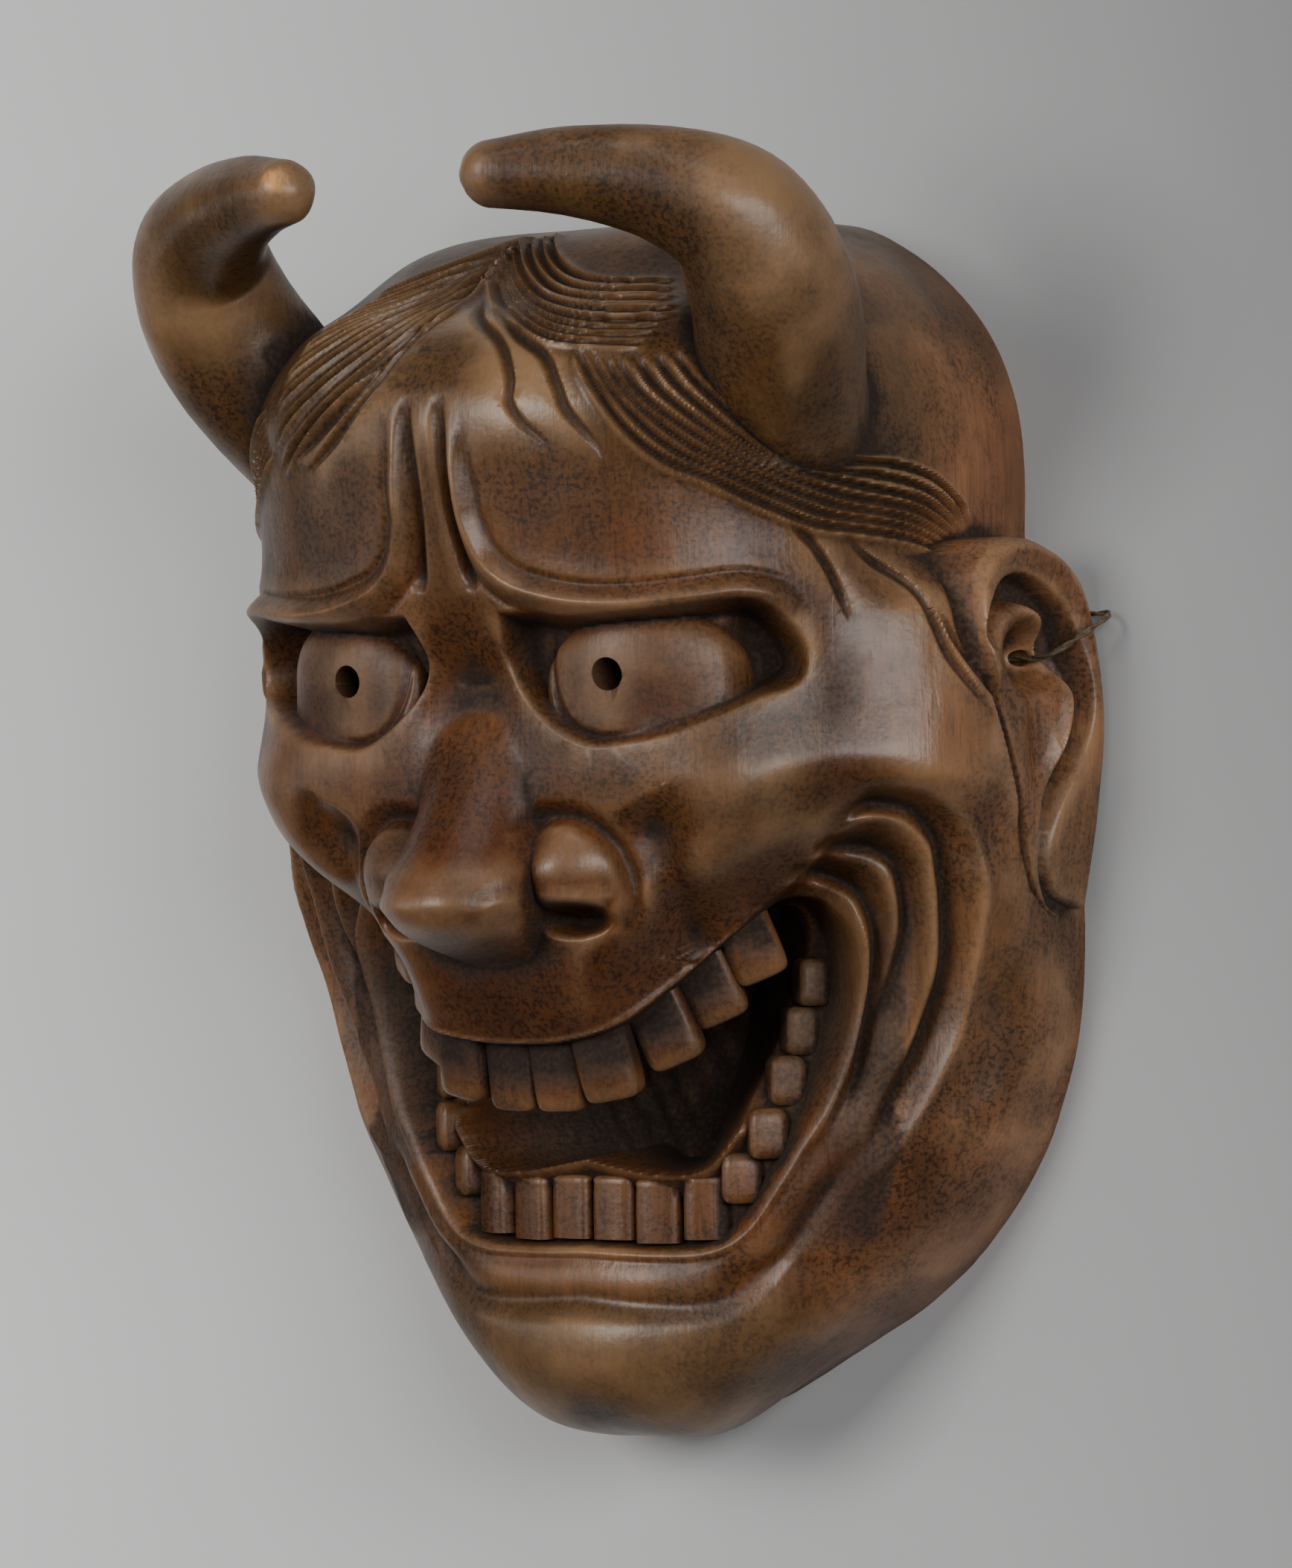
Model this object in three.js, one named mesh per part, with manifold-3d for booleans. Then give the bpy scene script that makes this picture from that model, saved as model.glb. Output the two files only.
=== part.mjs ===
// Carved wooden hannya mask, lying on the rim of its back, in millimetres.
// X runs across the face, Y from chin to crown, Z from the rim plane out through the nose.
import * as THREE from "three";
import { mergeVertices } from "three/addons/utils/BufferGeometryUtils.js";
import Module from "manifold-3d";

const wasm = await Module();
wasm.setup();

// driving dimensions
const WIDTH = 205.2;            // across the ears
const LENGTH = 279.7;           // from the chin to the backs of the horns
const HEIGHT = 129.4;           // from the rim plane to the tips of the horns
const CROWN_FOOT = 70;          // Y where the crown's dome begins
const CHIN_FOOT = -95;          // Y where the chin's dome begins
const CROWN_PACE = 80;          // mm of profile per radian over the crown
const CHIN_PACE = 45;           // mm of profile per radian under the chin
const RIM_WALL = 12;            // width of the flat rim the mask lies on
const MOUTH_FLOOR = 22;         // Z of the closed floor inside the mouth
const MOUTH_WEB = 9;            // wood behind that floor
const GUM_DROP = 5.5;           // gum shelf below the lip
const SOCKET_DEPTH = 10;        // eye socket sunk below the face
const PUPIL_BORE = 7;           // across each pupil hole
const PUPIL = [33.4, 33];       // X and Y of each pupil
const TWINE = 0.95;             // radius of the doubled twine as one strand
const TWINE_CLEARANCE = 0.85;   // room round the twine in its holes and notches
const CORD_HOLE = [35.5, 15.4]; // Y and Z of the hole through each ear
const HOLE_RISE = 0.205;        // the cord holes climb outwards by this slope
const EAR_ROOT = 74;            // X where each ear runs into the side of the head
const TOOTH_INSET = 8.6;        // upper teeth stand this far behind the lip
const NOTCH_Y = 45;             // where the twine passes under the rim
const TWINE_LIFT = 0.3;         // twine above the plane the mask lies on
const COLUMN_COUNT = 44;        // face grid across
const ROW_COUNT = 54;           // face grid up
const SHORTEST_EDGE = 0.15;     // facets are closed up below this
const THINNEST_FACET = 0.03;
const SHIFT_Y = -5.1;           // centres the part on its origin along Y

// the carving is worked out at this size and stretched to the width, length and height above
const CARVED = [205.2, 279.7, 129.4];
const STRETCH = [WIDTH / CARVED[0], LENGTH / CARVED[1], HEIGHT / CARVED[2]];
const stretched = (p) => p.map((v, c) => v * STRETCH[c]);
const CLEAR_TOP = CARVED[2] + 2; // cuts from the front start above everything carved

const DEG = Math.PI / 180;
const clamp = (v, lo, hi) => Math.min(hi, Math.max(lo, v));
const smooth = (t) => { t = clamp(t, 0, 1); return t * t * (3 - 2 * t); };
const blend = (a, b, k) => { const h = clamp(0.5 + (b - a) / (2 * k), 0, 1); return a + (b - a) * h + k * h * (1 - h); };
const crown = (deg) => CROWN_FOOT + CROWN_PACE * deg * DEG;
const chin = (deg) => CHIN_FOOT - CHIN_PACE * deg * DEG;

// smooth curve through [place, value] rows
function knots(t, rows) {
  const n = rows.length;
  t = clamp(t, rows[0][0], rows[n - 1][0]);
  let i = 0;
  while (i < n - 2 && t > rows[i + 1][0]) i++;
  const slope = (k) => {
    if (k === 0) return (rows[1][1] - rows[0][1]) / (rows[1][0] - rows[0][0]);
    if (k === n - 1) return (rows[k][1] - rows[k - 1][1]) / (rows[k][0] - rows[k - 1][0]);
    const a = rows[k][0] - rows[k - 1][0], b = rows[k + 1][0] - rows[k][0];
    const da = (rows[k][1] - rows[k - 1][1]) / a, db = (rows[k + 1][1] - rows[k][1]) / b;
    return (db * a + da * b) / (a + b);
  };
  const h = rows[i + 1][0] - rows[i][0], s = (t - rows[i][0]) / h;
  return (1 + 2 * s) * (1 - s) ** 2 * rows[i][1] + s * (1 - s) ** 2 * h * slope(i)
    + s * s * (3 - 2 * s) * rows[i + 1][1] + s * s * (s - 1) * h * slope(i + 1);
}

// half width of the rim, from chin to crown
const rimHalf = [[chin(90), 36.8], [chin(64), 37.2], [chin(47), 38.5], [chin(32), 42.3], [chin(21), 47.9],
  [chin(13), 54.3], [chin(6), 60.8], [-95, 67.4], [-90, 72], [-80, 79.6], [-70, 85.3], [-60, 89.2], [-50, 92.3],
  [-41, 93.9], [-30, 94.8], [-10, 94.5], [10, 91], [30, 87], [50, 83.4], [60, 81.9], [70, 82], [crown(6), 82.4],
  [crown(15), 83.1], [crown(25), 82.8], [crown(37), 80.5], [crown(46), 78.2], [crown(58), 74.2],
  [crown(66), 69], [crown(74), 65.5], [crown(90), 63.2]];
// height of the middle line: skull, cheeks and muzzle
const upperHeight = [[chin(90), 36.8], [chin(46), 59], [chin(10), 60], [-80, 72], [-60, 76], [-47, 79], [-40, 83],
  [-28, 88], [-10, 92], [5, 94], [20, 96], [35, 99], [50, 103], [62, 106], [70, 108], [crown(11), 113],
  [crown(20), 107], [crown(28), 95.5], [crown(40), 88.5], [crown(57), 73.5], [crown(75), 65], [crown(90), 63.2]];
// height of the middle line: lower jaw, set back under the lip
const lowerHeight = [[chin(90), 36.8], [chin(75), 40.5], [chin(62), 44.5], [chin(49), 51.5], [chin(35), 58.5],
  [chin(20), 60], [chin(8), 56.5], [-95, 53], [-89, 54], [-80, 55], [-67, 54.5], [-56, 51], [-41, 48], [-20, 48],
  [0, 52], [30, 60], [70, 70], [crown(90), 63.2]];
// how square each cross section is
const upperSquare = [[chin(90), 2], [-95, 1.8], [-60, 2.2], [-30, 2.5], [0, 2.5], [10, 2.8], [30, 2.75], [50, 2.85],
  [66, 2.72], [crown(11), 2.6], [crown(30), 2.4], [crown(60), 2], [crown(90), 2]];
const lowerSquare = [[chin(90), 2], [chin(60), 2.4], [chin(30), 3], [-97, 2.7], [-90, 2.45], [-80, 2.25], [-70, 2.27],
  [-60, 2.45], [-50, 2.62], [-41, 2.85], [-30, 3.4], [-20, 4], [-10, 4.6], [0, 4.6], [30, 3], [70, 2.4],
  [crown(90), 2]];
// line where cheek and upper lip stand out over the jaw, by angle round the face
const lipLine = [[0, -47], [9, -46], [18, -42], [25, -35], [31.5, -28], [38, -21], [44, -14], [50, -7], [55, -4],
  [60, -4], [65, -6], [72, -10], [80, -20], [90, -30]];
// reach of cheek and muzzle towards their flanks, which fall away at this angle round the face
const FLANK_TURN = 57;
const flankReach = [[-60, 62], [-47, 61], [-39.6, 63.7], [-24.5, 70], [-17, 76.5], [-8, 86.5], [0.8, 94.6], [8, 98.5],
  [16, 105], [30, 125], [60, 170]];
const lipSoft = [[0, 2], [40, 3], [44, 4], [50, 8], [55, 10], [60, 11], [65, 12], [75, 16], [90, 24]];

// a point of the face: turned by psi about the middle line, carried q along it, r away from it
function place(psi, q, r) {
  const foot = clamp(q, CHIN_FOOT, CROWN_FOOT);
  const tilt = q > CROWN_FOOT ? (q - CROWN_FOOT) / CROWN_PACE : q < CHIN_FOOT ? (q - CHIN_FOOT) / CHIN_PACE : 0;
  return [r * Math.cos(tilt) * Math.sin(psi), foot + r * Math.sin(tilt) + SHIFT_Y, r * Math.cos(tilt) * Math.cos(psi)];
}

const section = (psi, half, height, n) =>
  ((Math.abs(Math.sin(psi)) / half) ** n + (Math.abs(Math.cos(psi)) / height) ** n) ** (-1 / n);

function baseRadius(psi, q) {
  const half = knots(q, rimHalf);
  const full = section(psi, half, knots(q, upperHeight), knots(q, upperSquare));
  const flank = knots(q, flankReach) / Math.cos(Math.abs(psi) - FLANK_TURN * DEG);
  const deg = Math.abs(psi) / DEG;
  const up = full + (-blend(-full, -flank, 5) - full) * smooth((66 - deg) / 14);
  const low = section(psi, half, knots(q, lowerHeight), knots(q, lowerSquare));
  const t = smooth(0.5 + (q - knots(deg, lipLine)) / (2 * knots(deg, lipSoft)));
  return low + (up - low) * t;
}

// smooth path through [degrees, q] points
function path(points, steps = 5) {
  const out = [];
  for (let i = 0; i < points.length - 1; i++) {
    const p = [points[Math.max(i - 1, 0)], points[i], points[i + 1], points[Math.min(i + 2, points.length - 1)]];
    for (let k = 0; k < steps; k++) {
      const t = k / steps;
      out.push([0, 1].map((c) => 0.5 * (2 * p[1][c] + (p[2][c] - p[0][c]) * t
        + (2 * p[0][c] - 5 * p[1][c] + 4 * p[2][c] - p[3][c]) * t * t
        + (3 * p[1][c] - p[0][c] - 3 * p[2][c] + p[3][c]) * t ** 3)));
    }
  }
  out.push(points[points.length - 1]);
  return out;
}

// distance in mm from a grid point to a path, and how far along the path it is (0 to 1)
function toPath(psi, q, line) {
  let best = 1e9, along = 0;
  for (let i = 0; i < line.length - 1; i++) {
    const a = line[i], b = line[i + 1];
    const wide = line.wide[i];
    const ux = (b[0] - a[0]) * wide, uy = b[1] - a[1];
    const px = (psi / DEG - a[0]) * wide, py = q - a[1];
    const s = clamp((px * ux + py * uy) / (ux * ux + uy * uy + 1e-9), 0, 1);
    const d = Math.hypot(px - ux * s, py - uy * s);
    if (d < best) { best = d; along = (i + s) / (line.length - 1); }
  }
  return [best, along];
}
function stroke(points, steps) {
  const line = path(points, steps);
  line.wide = line.map(([deg, q]) => baseRadius(deg * DEG, q) * DEG);
  return line;
}
// signed distance to a closed outline, positive inside
function insideOf(psi, q, line) {
  let odd = false;
  const x = psi / DEG;
  for (let i = 0, j = line.length - 1; i < line.length; j = i++) {
    const [xi, yi] = line[i], [xj, yj] = line[j];
    if (yi > q !== yj > q && x < ((xj - xi) * (q - yi)) / (yj - yi) + xi) odd = !odd;
  }
  const [d] = toPath(psi, q, line);
  return odd ? d : -d;
}
const bump = (d, w) => Math.exp(-((d / w) ** 2));

// face relief, one half, mirrored
const browBead = stroke([[3.4, 80], [3.9, 72], [4.3, 65], [6, 57], [9, 52], [13, 49.3], [18, 47.6], [24, 47.4],
  [31, 48.6], [36, 49.6], [40, 48.2]]);
const centreGroove = stroke([[2.6, 84], [2.5, 76], [2.7, 70], [3, 62], [3.6, 54]]);
const socket = stroke([[7, 46], [10.9, 46], [15, 45], [19.4, 45], [27, 46], [33.8, 47.6], [38, 47.3], [41.3, 43.7],
  [43.6, 38.7], [43.9, 33.7], [42, 29.8], [37, 27], [30, 22.5], [25, 19.8], [18.4, 18], [14, 20.5], [10.5, 25],
  [7.5, 31], [6, 38], [7, 46]], 3);
const alaCrease = stroke([[7.2, -6], [8, 0], [11, 3.5], [15.5, 3.4], [19.8, 0.2], [22.3, -7], [22.3, -16]]);
const smileFold = stroke([[22, 2], [25.5, -8], [30, -20], [34, -26]]);
const outerGroove = stroke([[46, -2.5], [51, 4.2], [54.4, 5.6], [58.9, 4], [62.9, -1.8], [64.5, -9.5], [65.8, -17.2],
  [66.9, -28.7], [66.5, -38], [64.9, -48], [62, -57.9], [59.2, -66.4], [55.9, -73.3]]);
const midGroove = stroke([[45.7, -6], [49.3, -3.5], [55.2, -3.5], [59.2, -7], [60.9, -14.7], [61.6, -24],
  [61.1, -32.4], [59.8, -40.9], [58.1, -51.7], [55, -63]]);
const innerGroove = stroke([[43, -10.5], [48, -8.3], [55, -11.2], [57.4, -15.8], [58.8, -23.1], [58.9, -32.4],
  [58, -44], [56, -55.5], [51, -68]]);
const nose = [
  // q, height of the ridge, radius of its cross section
  [32, 89, 8], [28, 89.5, 10], [20, 95, 12], [8, 102.5, 13.5], [-2, 108.5, 15.2], [-10, 114, 16.2], [-16, 115.5, 16],
  [-21, 110.5, 14], [-25, 100, 11.5], [-28, 89, 9], [-31, 80, 6]].reverse();

function faceRadius(psi, q) {
  let r = baseRadius(psi, q);
  const a = Math.abs(psi), deg = a / DEG, s = Math.sin(a), c = Math.cos(a);
  // dip at the root of the nose
  r -= 8 * bump(Math.hypot(deg * 1.7, (q - 30) * 1.1), 13);
  // nose ridge and tip: a round section per level
  if (q < 32 && q > -31) {
    const top = knots(q, nose.map((v) => [v[0], v[1]])), rad = knots(q, nose.map((v) => [v[0], v[2]]));
    const mid = top - rad, reach = rad * rad - (mid * s) ** 2;
    if (reach > 0) r = blend(r, mid * c + Math.sqrt(reach), 3);
  }
  // nostril wings
  if (q < 8 && q > -26) {
    const px = 21.8, pz = 86, rad2 = 12 ** 2 - ((q + 9) * 0.95) ** 2;
    const along = px * s + pz * c, off = (px * c - pz * s) ** 2;
    if (rad2 - off > 0) r = blend(r, along + Math.sqrt(rad2 - off), 4);
    r -= 3.2 * bump(toPath(a, q, alaCrease)[0], 2.4);
    r -= 6 * bump(Math.hypot((deg - 14.4) * 1.5, (q + 18.5) * 1.1), 3);
  }
  r -= 3 * bump(toPath(a, q, smileFold)[0], 6);
  // brow bead and the grooves between the brows
  const [bead, at] = toPath(a, q, browBead);
  r += 2.8 * bump(bead, 3.4) * smooth((1 - at) * 8) * smooth(at * 6);
  const [groove, up] = toPath(a, q, centreGroove);
  r -= 3.2 * bump(groove, 2.2) * smooth(up * 5) * smooth((1 - up) * 6 + 0.3);
  // eye socket and eyeball
  const inEye = insideOf(a, q, socket);
  if (inEye > -2) {
    const floor = r - SOCKET_DEPTH * smooth((inEye + 1) / 5.5);
    const ball = 1 - ((deg - 24) / 13.5) ** 2 - ((q - 31) / 15.5) ** 2;
    const eye = ball > 0 ? baseRadius(psi, q) - SOCKET_DEPTH + 9.8 * Math.sqrt(ball) : 0;
    r = Math.max(floor, eye);
  }
  // nested folds round the corner of the mouth
  const fold = (line, depth, w) => {
    const [d, t] = toPath(a, q, line);
    r -= depth * bump(d, w) * smooth(t * 7) * smooth((1 - t) * 6);
  };
  fold(outerGroove, 4.5, 3);
  fold(midGroove, 3, 2.2);
  fold(innerGroove, 3, 2.2);
  // chin boss
  r += 3 * bump(Math.hypot(deg * 0.75, q + 108), 12);
  return r;
}

// height of the hollow's own middle line: deep behind the face, shallow behind the mouth
const hollowHeight = [[chin(60), 9], [chin(20), 12], [-95, MOUTH_FLOOR - MOUTH_WEB], [-60, MOUTH_FLOOR - MOUTH_WEB],
  [-40, 14], [-26, 24], [-12, 46], [2, 64], [16, 74], [32, 79], [50, 84], [70, 88], [crown(11), 88], [crown(25), 76],
  [crown(40), 62], [crown(62), 47]];
const hollowSquare = [[chin(60), 2], [-60, 2.4], [-20, 2.3], [10, 2.2], [crown(62), 2.1]];
const hollowRadius = (psi, q) => {
  const close = smooth((crown(64) - q) / 14 + 0.3) * smooth((q - chin(64)) / 14 + 0.3);
  return section(psi, (knots(q, rimHalf) - RIM_WALL) * (0.86 + 0.14 * close), knots(q, hollowHeight), knots(q, hollowSquare));
};

// a closed body from a grid of points, its two ends and its flat side shut
function bodyFromQuads(rowsOf, closedRow) {
  const flat = [], tri = [];
  rowsOf.forEach((row) => row.forEach((p) => flat.push(...p)));
  const w = rowsOf[0].length, h = rowsOf.length;
  const id = (j, i) => j * w + (closedRow ? (i + w) % w : i);
  for (let j = 0; j < h - 1; j++) {
    for (let i = 0; i < (closedRow ? w : w - 1); i++) {
      tri.push([id(j, i), id(j, i + 1), id(j + 1, i + 1)], [id(j, i), id(j + 1, i + 1), id(j + 1, i)]);
    }
  }
  return { flat, tri, w, h, id };
}

function toManifold({ flat, tri }) {
  const g = new THREE.BufferGeometry();
  g.setAttribute("position", new THREE.Float32BufferAttribute(flat, 3));
  g.setIndex(tri.flat());
  const m = mergeVertices(g, 1e-3);
  const index = [];
  for (let i = 0; i < m.index.count; i += 3) {
    const [a, b, c] = [m.index.getX(i), m.index.getX(i + 1), m.index.getX(i + 2)];
    if (a !== b && b !== c && c !== a) index.push(a, b, c);
  }
  return new wasm.Manifold(new wasm.Mesh({
    numProp: 3, vertProperties: new Float32Array(m.attributes.position.array), triVerts: new Uint32Array(index) }));
}

function solidOf(geometry) {
  geometry.deleteAttribute("normal");
  geometry.deleteAttribute("uv");
  const m = mergeVertices(geometry, 1e-3);
  return new wasm.Manifold(new wasm.Mesh({
    numProp: 3, vertProperties: new Float32Array(m.attributes.position.array), triVerts: new Uint32Array(m.index.array) }));
}

// rings of points, ends closed to a point at their middle
function loft(rings) {
  const b = bodyFromQuads(rings, true);
  [0, b.h - 1].forEach((j) => {
    const ring = rings[j], mid = [0, 1, 2].map((c) => ring.reduce((t, p) => t + p[c], 0) / ring.length);
    const k = b.flat.length / 3;
    b.flat.push(...mid);
    for (let i = 0; i < b.w; i++) {
      b.tri.push(j === 0 ? [k, b.id(j, i + 1), b.id(j, i)] : [k, b.id(j, i), b.id(j, i + 1)]);
    }
  });
  return facingOut(b);
}
function facingOut(b) {
  let v = 0;
  const p = (k) => [b.flat[3 * k], b.flat[3 * k + 1], b.flat[3 * k + 2]];
  b.tri.forEach(([i, j, k]) => {
    const [a, c, d] = [p(i), p(j), p(k)];
    v += a[0] * (c[1] * d[2] - c[2] * d[1]) - a[1] * (c[0] * d[2] - c[2] * d[0]) + a[2] * (c[0] * d[1] - c[1] * d[0]);
  });
  if (v < 0) b.tri = b.tri.map(([i, j, k]) => [i, k, j]);
  return toManifold(b);
}

// rows stand closer together over the eyes, nose and mouth corners
const rowPace = [[0, 0], [0.22, 0.28], [0.74, 0.64], [1, 1]];
const rowAt = (t, from, to) => from + (to - from) * knots(t, rowPace);

// half-shell between the rim plane and a radius function
function dome(radius, columns, rows, from, to, lift = 0) {
  const grid = [];
  for (let j = 0; j <= rows; j++) {
    const q = rowAt(j / rows, from, to);
    const row = [];
    for (let i = 0; i <= columns; i++) {
      const x = 2 * i / columns - 1;
      const psi = 90 * DEG * x * (0.64 + 0.36 * x * x);
      row.push(place(psi, q, radius(psi, q)));
    }
    grid.push(row);
  }
  const b = bodyFromQuads(grid, false);
  // the flat side: spokes from its middle to the edge
  const hub = b.flat.length / 3;
  b.flat.push(0, SHIFT_Y, 0);
  for (let j = 0; j < rows; j++) {
    b.tri.push([hub, b.id(j, 0), b.id(j + 1, 0)], [hub, b.id(j + 1, columns), b.id(j, columns)]);
  }
  const [low, high] = [hub + 1, hub + 2];
  b.flat.push(0, grid[0][0][1], 0, 0, grid[rows][0][1], 0);
  b.tri.push([hub, b.id(0, columns), low], [hub, low, b.id(0, 0)]);
  b.tri.push([hub, b.id(rows, 0), high], [hub, high, b.id(rows, columns)]);
  for (let i = 0; i < columns; i++) {
    b.tri.push([low, b.id(0, i + 1), b.id(0, i)], [high, b.id(rows, i), b.id(rows, i + 1)]);
  }
  for (let i = 2; i < b.flat.length; i += 3) b.flat[i] += lift;
  return facingOut(b);
}

// a tube of given radii along points
function tube(points, radii, sides, squash = 1) {
  const curve = new THREE.CatmullRomCurve3(points.map((p) => new THREE.Vector3(...p)));
  const n = radii.length;
  const frames = curve.computeFrenetFrames(n - 1, false);
  const rings = radii.map((rad, j) => {
    const at = curve.getPointAt(j / (n - 1));
    const ring = [];
    for (let i = 0; i < sides; i++) {
      const t = 2 * Math.PI * i / sides;
      const v = at.clone().addScaledVector(frames.normals[j], rad * Math.cos(t) * squash)
        .addScaledVector(frames.binormals[j], rad * Math.sin(t));
      ring.push([v.x, v.y, v.z]);
    }
    return ring;
  });
  return loft(rings);
}

// cutter under an outline on the face, running towards the middle line
function wellUnder(outline, topRadius, floorRadius, rings = 4) {
  const centre = [0, outline.reduce((t, p) => t + p[1], 0) / outline.length];
  const grid = [];
  const ring = (share, radius) => outline.map(([deg, q]) => {
    const d = centre[0] + (deg - centre[0]) * share, v = centre[1] + (q - centre[1]) * share;
    return place(d * DEG, v, radius(d * DEG, v));
  });
  for (let k = 1; k <= rings; k++) grid.push(ring(k / rings, topRadius));
  for (let k = rings; k >= 1; k--) grid.push(ring(k / rings, floorRadius));
  return loft(grid);
}

// a rounded block standing on a point, with its width, depth and height along given directions
function tooth(at, along, out, width, depth, height, slant = 0.82) {
  const a = new THREE.Vector3(...along).normalize(), o = new THREE.Vector3(...out).normalize();
  const s = new THREE.Vector3().crossVectors(a, o).normalize();
  const f = new THREE.Vector3().crossVectors(s, a).normalize();
  const rings = [0, 0.85, 1].map((t) => {
    const k = t < 0.5 ? 1 : t < 0.9 ? 0.96 : slant;
    const ring = [];
    for (let i = 0; i < 8; i++) {
      const g = 2 * Math.PI * (i + 0.5) / 8, cx = Math.cos(g), cy = Math.sin(g);
      const w = Math.sign(cx) * Math.abs(cx) ** 0.55 * width / 2 * k, d = Math.sign(cy) * Math.abs(cy) ** 0.55 * depth / 2 * k;
      const v = new THREE.Vector3(...at).addScaledVector(a, height * t).addScaledVector(s, w).addScaledVector(f, d);
      ring.push([v.x, v.y, v.z]);
    }
    return ring;
  });
  return loft(rings);
}

const shell = dome(faceRadius, COLUMN_COUNT, ROW_COUNT, chin(90), crown(90));
const hollow = dome(hollowRadius, 18, 24, chin(60), crown(62), -0.6);

// mouth: gum shelf inside the lips, then the deep well behind the teeth
const mouthHalf = [[0, -47.5], [9, -46.5], [18, -42.8], [25, -36], [31.5, -29], [38, -22], [44, -16], [49, -15.2],
  [52, -18], [54.2, -23], [55.2, -30], [55.2, -38], [53.6, -47], [51, -56], [47.2, -65.4], [42.4, -75.5], [37, -84.9],
  [30, -89.6], [18, -90.5], [0, -90]];
const wellHalf = [[0, -46.5], [9, -45.5], [18, -41.8], [25, -35], [31.5, -28], [38, -21.5], [44, -17.5], [49, -17.5],
  [51, -22], [50.6, -29], [48, -38], [45, -48], [40.3, -57], [35.2, -66], [29, -73], [18, -74], [0, -71]];
const bothHalves = (half) => [...half, ...half.slice(1, -1).reverse().map(([d, q]) => [-d, q])];
// top of the gum shelf, sinking deeper towards the corner of the mouth
const gumRadius = (p, q) => section(p, knots(q, rimHalf), knots(q, lowerHeight), knots(q, lowerSquare))
  - GUM_DROP - 5 * smooth((q + 66) / 26);
const mouthCut = wellUnder(bothHalves(mouthHalf), () => CLEAR_TOP, gumRadius, 4);
const wellCut = wellUnder(bothHalves(wellHalf), () => CLEAR_TOP - 12, (p) => MOUTH_FLOOR / Math.cos(p), 2);

// round hole between two points
function bore(from, to, radius) {
  const a = new THREE.Vector3(...from), b = new THREE.Vector3(...to), along = b.clone().sub(a);
  const g = new THREE.CylinderGeometry(radius, radius, along.length(), 16);
  g.applyQuaternion(new THREE.Quaternion().setFromUnitVectors(new THREE.Vector3(0, 1, 0), along.clone().normalize()));
  g.translate(...a.add(b).multiplyScalar(0.5).toArray());
  return solidOf(g);
}
const pupils = [-1, 1].map((s) => bore(stretched([s * PUPIL[0], PUPIL[1] + SHIFT_Y, CLEAR_TOP / 2]),
  stretched([s * PUPIL[0], PUPIL[1] + SHIFT_Y, CLEAR_TOP]), PUPIL_BORE / 2));

// ears: a thick curved leaf standing off each side, with a rolled edge and a dished middle
const earOutline = [[-20, 3], [-21, 14], [-14, 23], [0, 28], [14, 33], [28, 38], [42, 42], [53, 40], [60, 32], [61, 22],
  [57, 10], [48, 3], [30, 0.8], [5, 0.8]];
const earPath = new THREE.CatmullRomCurve3(earOutline.map(([y, z]) => new THREE.Vector3(0, y, z)), true, "centripetal");
function ear(side) {
  const around = 24, mid = [20, 18];
  const face = (y, z, share) => {
    const lean = 95.5 + 4.6 * bump(y - 14, 34) - 0.13 * Math.max(z - 6, 0) - 0.02 * Math.max(-y, 0);
    const rollAt = Math.exp(-(((share - 0.9) / 0.14) ** 2));
    const dish = Math.exp(-((Math.hypot((y - 36) * 0.8, z - 22) / 13) ** 2));
    return lean + 2.6 * rollAt - 4.2 * dish;
  };
  const grid = [];
  [0.12, 0.35, 0.58, 0.76, 0.9, 1].forEach((share) => {
    const ring = [];
    for (let i = 0; i < around; i++) {
      const p = earPath.getPointAt(i / around);
      const y = mid[0] + (p.y - mid[0]) * share, z = Math.max(mid[1] + (p.z - mid[1]) * share, 0);
      ring.push([side * (face(y, z, share) - (share === 1 ? 1.6 : 0)), y + SHIFT_Y, z]);
    }
    grid.push(ring);
  });
  const root = [];
  for (let i = 0; i < around; i++) {
    const p = earPath.getPointAt(i / around);
    root.push([side * EAR_ROOT, p.y + SHIFT_Y, Math.max(p.z, 0)]);
  }
  grid.push(root);
  return loft(grid);
}
const ears = [-1, 1].map(ear);
const boreAt = (x, aside = 0, under = 0) => stretched([x, CORD_HOLE[0] + SHIFT_Y + aside, CORD_HOLE[1] + (x - 89) * HOLE_RISE - under]);
const cordBores = [-1, 1].map((s) => {
  const [a, b] = [boreAt(66), boreAt(112)];
  return bore([s * a[0], a[1], a[2]], [s * b[0], b[1], b[2]], TWINE + TWINE_CLEARANCE);
});

// shallow notch under the rim where the twine passes round the edge
const notchTop = TWINE_LIFT + 2 * TWINE + TWINE_CLEARANCE;
const notches = [-1, 1].map((s) => {
  const g = new THREE.BoxGeometry(46 * STRETCH[0], 2 * (TWINE + TWINE_CLEARANCE) + 0.4, 2 * notchTop);
  g.translate(...stretched([s * 86, NOTCH_Y + SHIFT_Y, 0]));
  return solidOf(g);
});

// horns: swelling at the root, curving up and in to a blunt tip
const hornLine = [[58, 77.5, 52], [64, 93, 70], [70.5, 112, 85], [68.5, 125.5, 96], [57.5, 132.5, 105], [41.5, 135.5, 114],
  [28, 135.5, 121.5], [20.9, 135, 125.5]];
const hornRadii = [14.4, 16, 17, 17.6, 17.8, 17.4, 16.6, 15.2, 13.2, 11.4, 10, 8.8, 7.2, 4.6];
const horns = [-1, 1].map((s) => tube(hornLine.map(([x, y, z]) => [s * x, y + SHIFT_Y, z]), hornRadii, 14));

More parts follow.
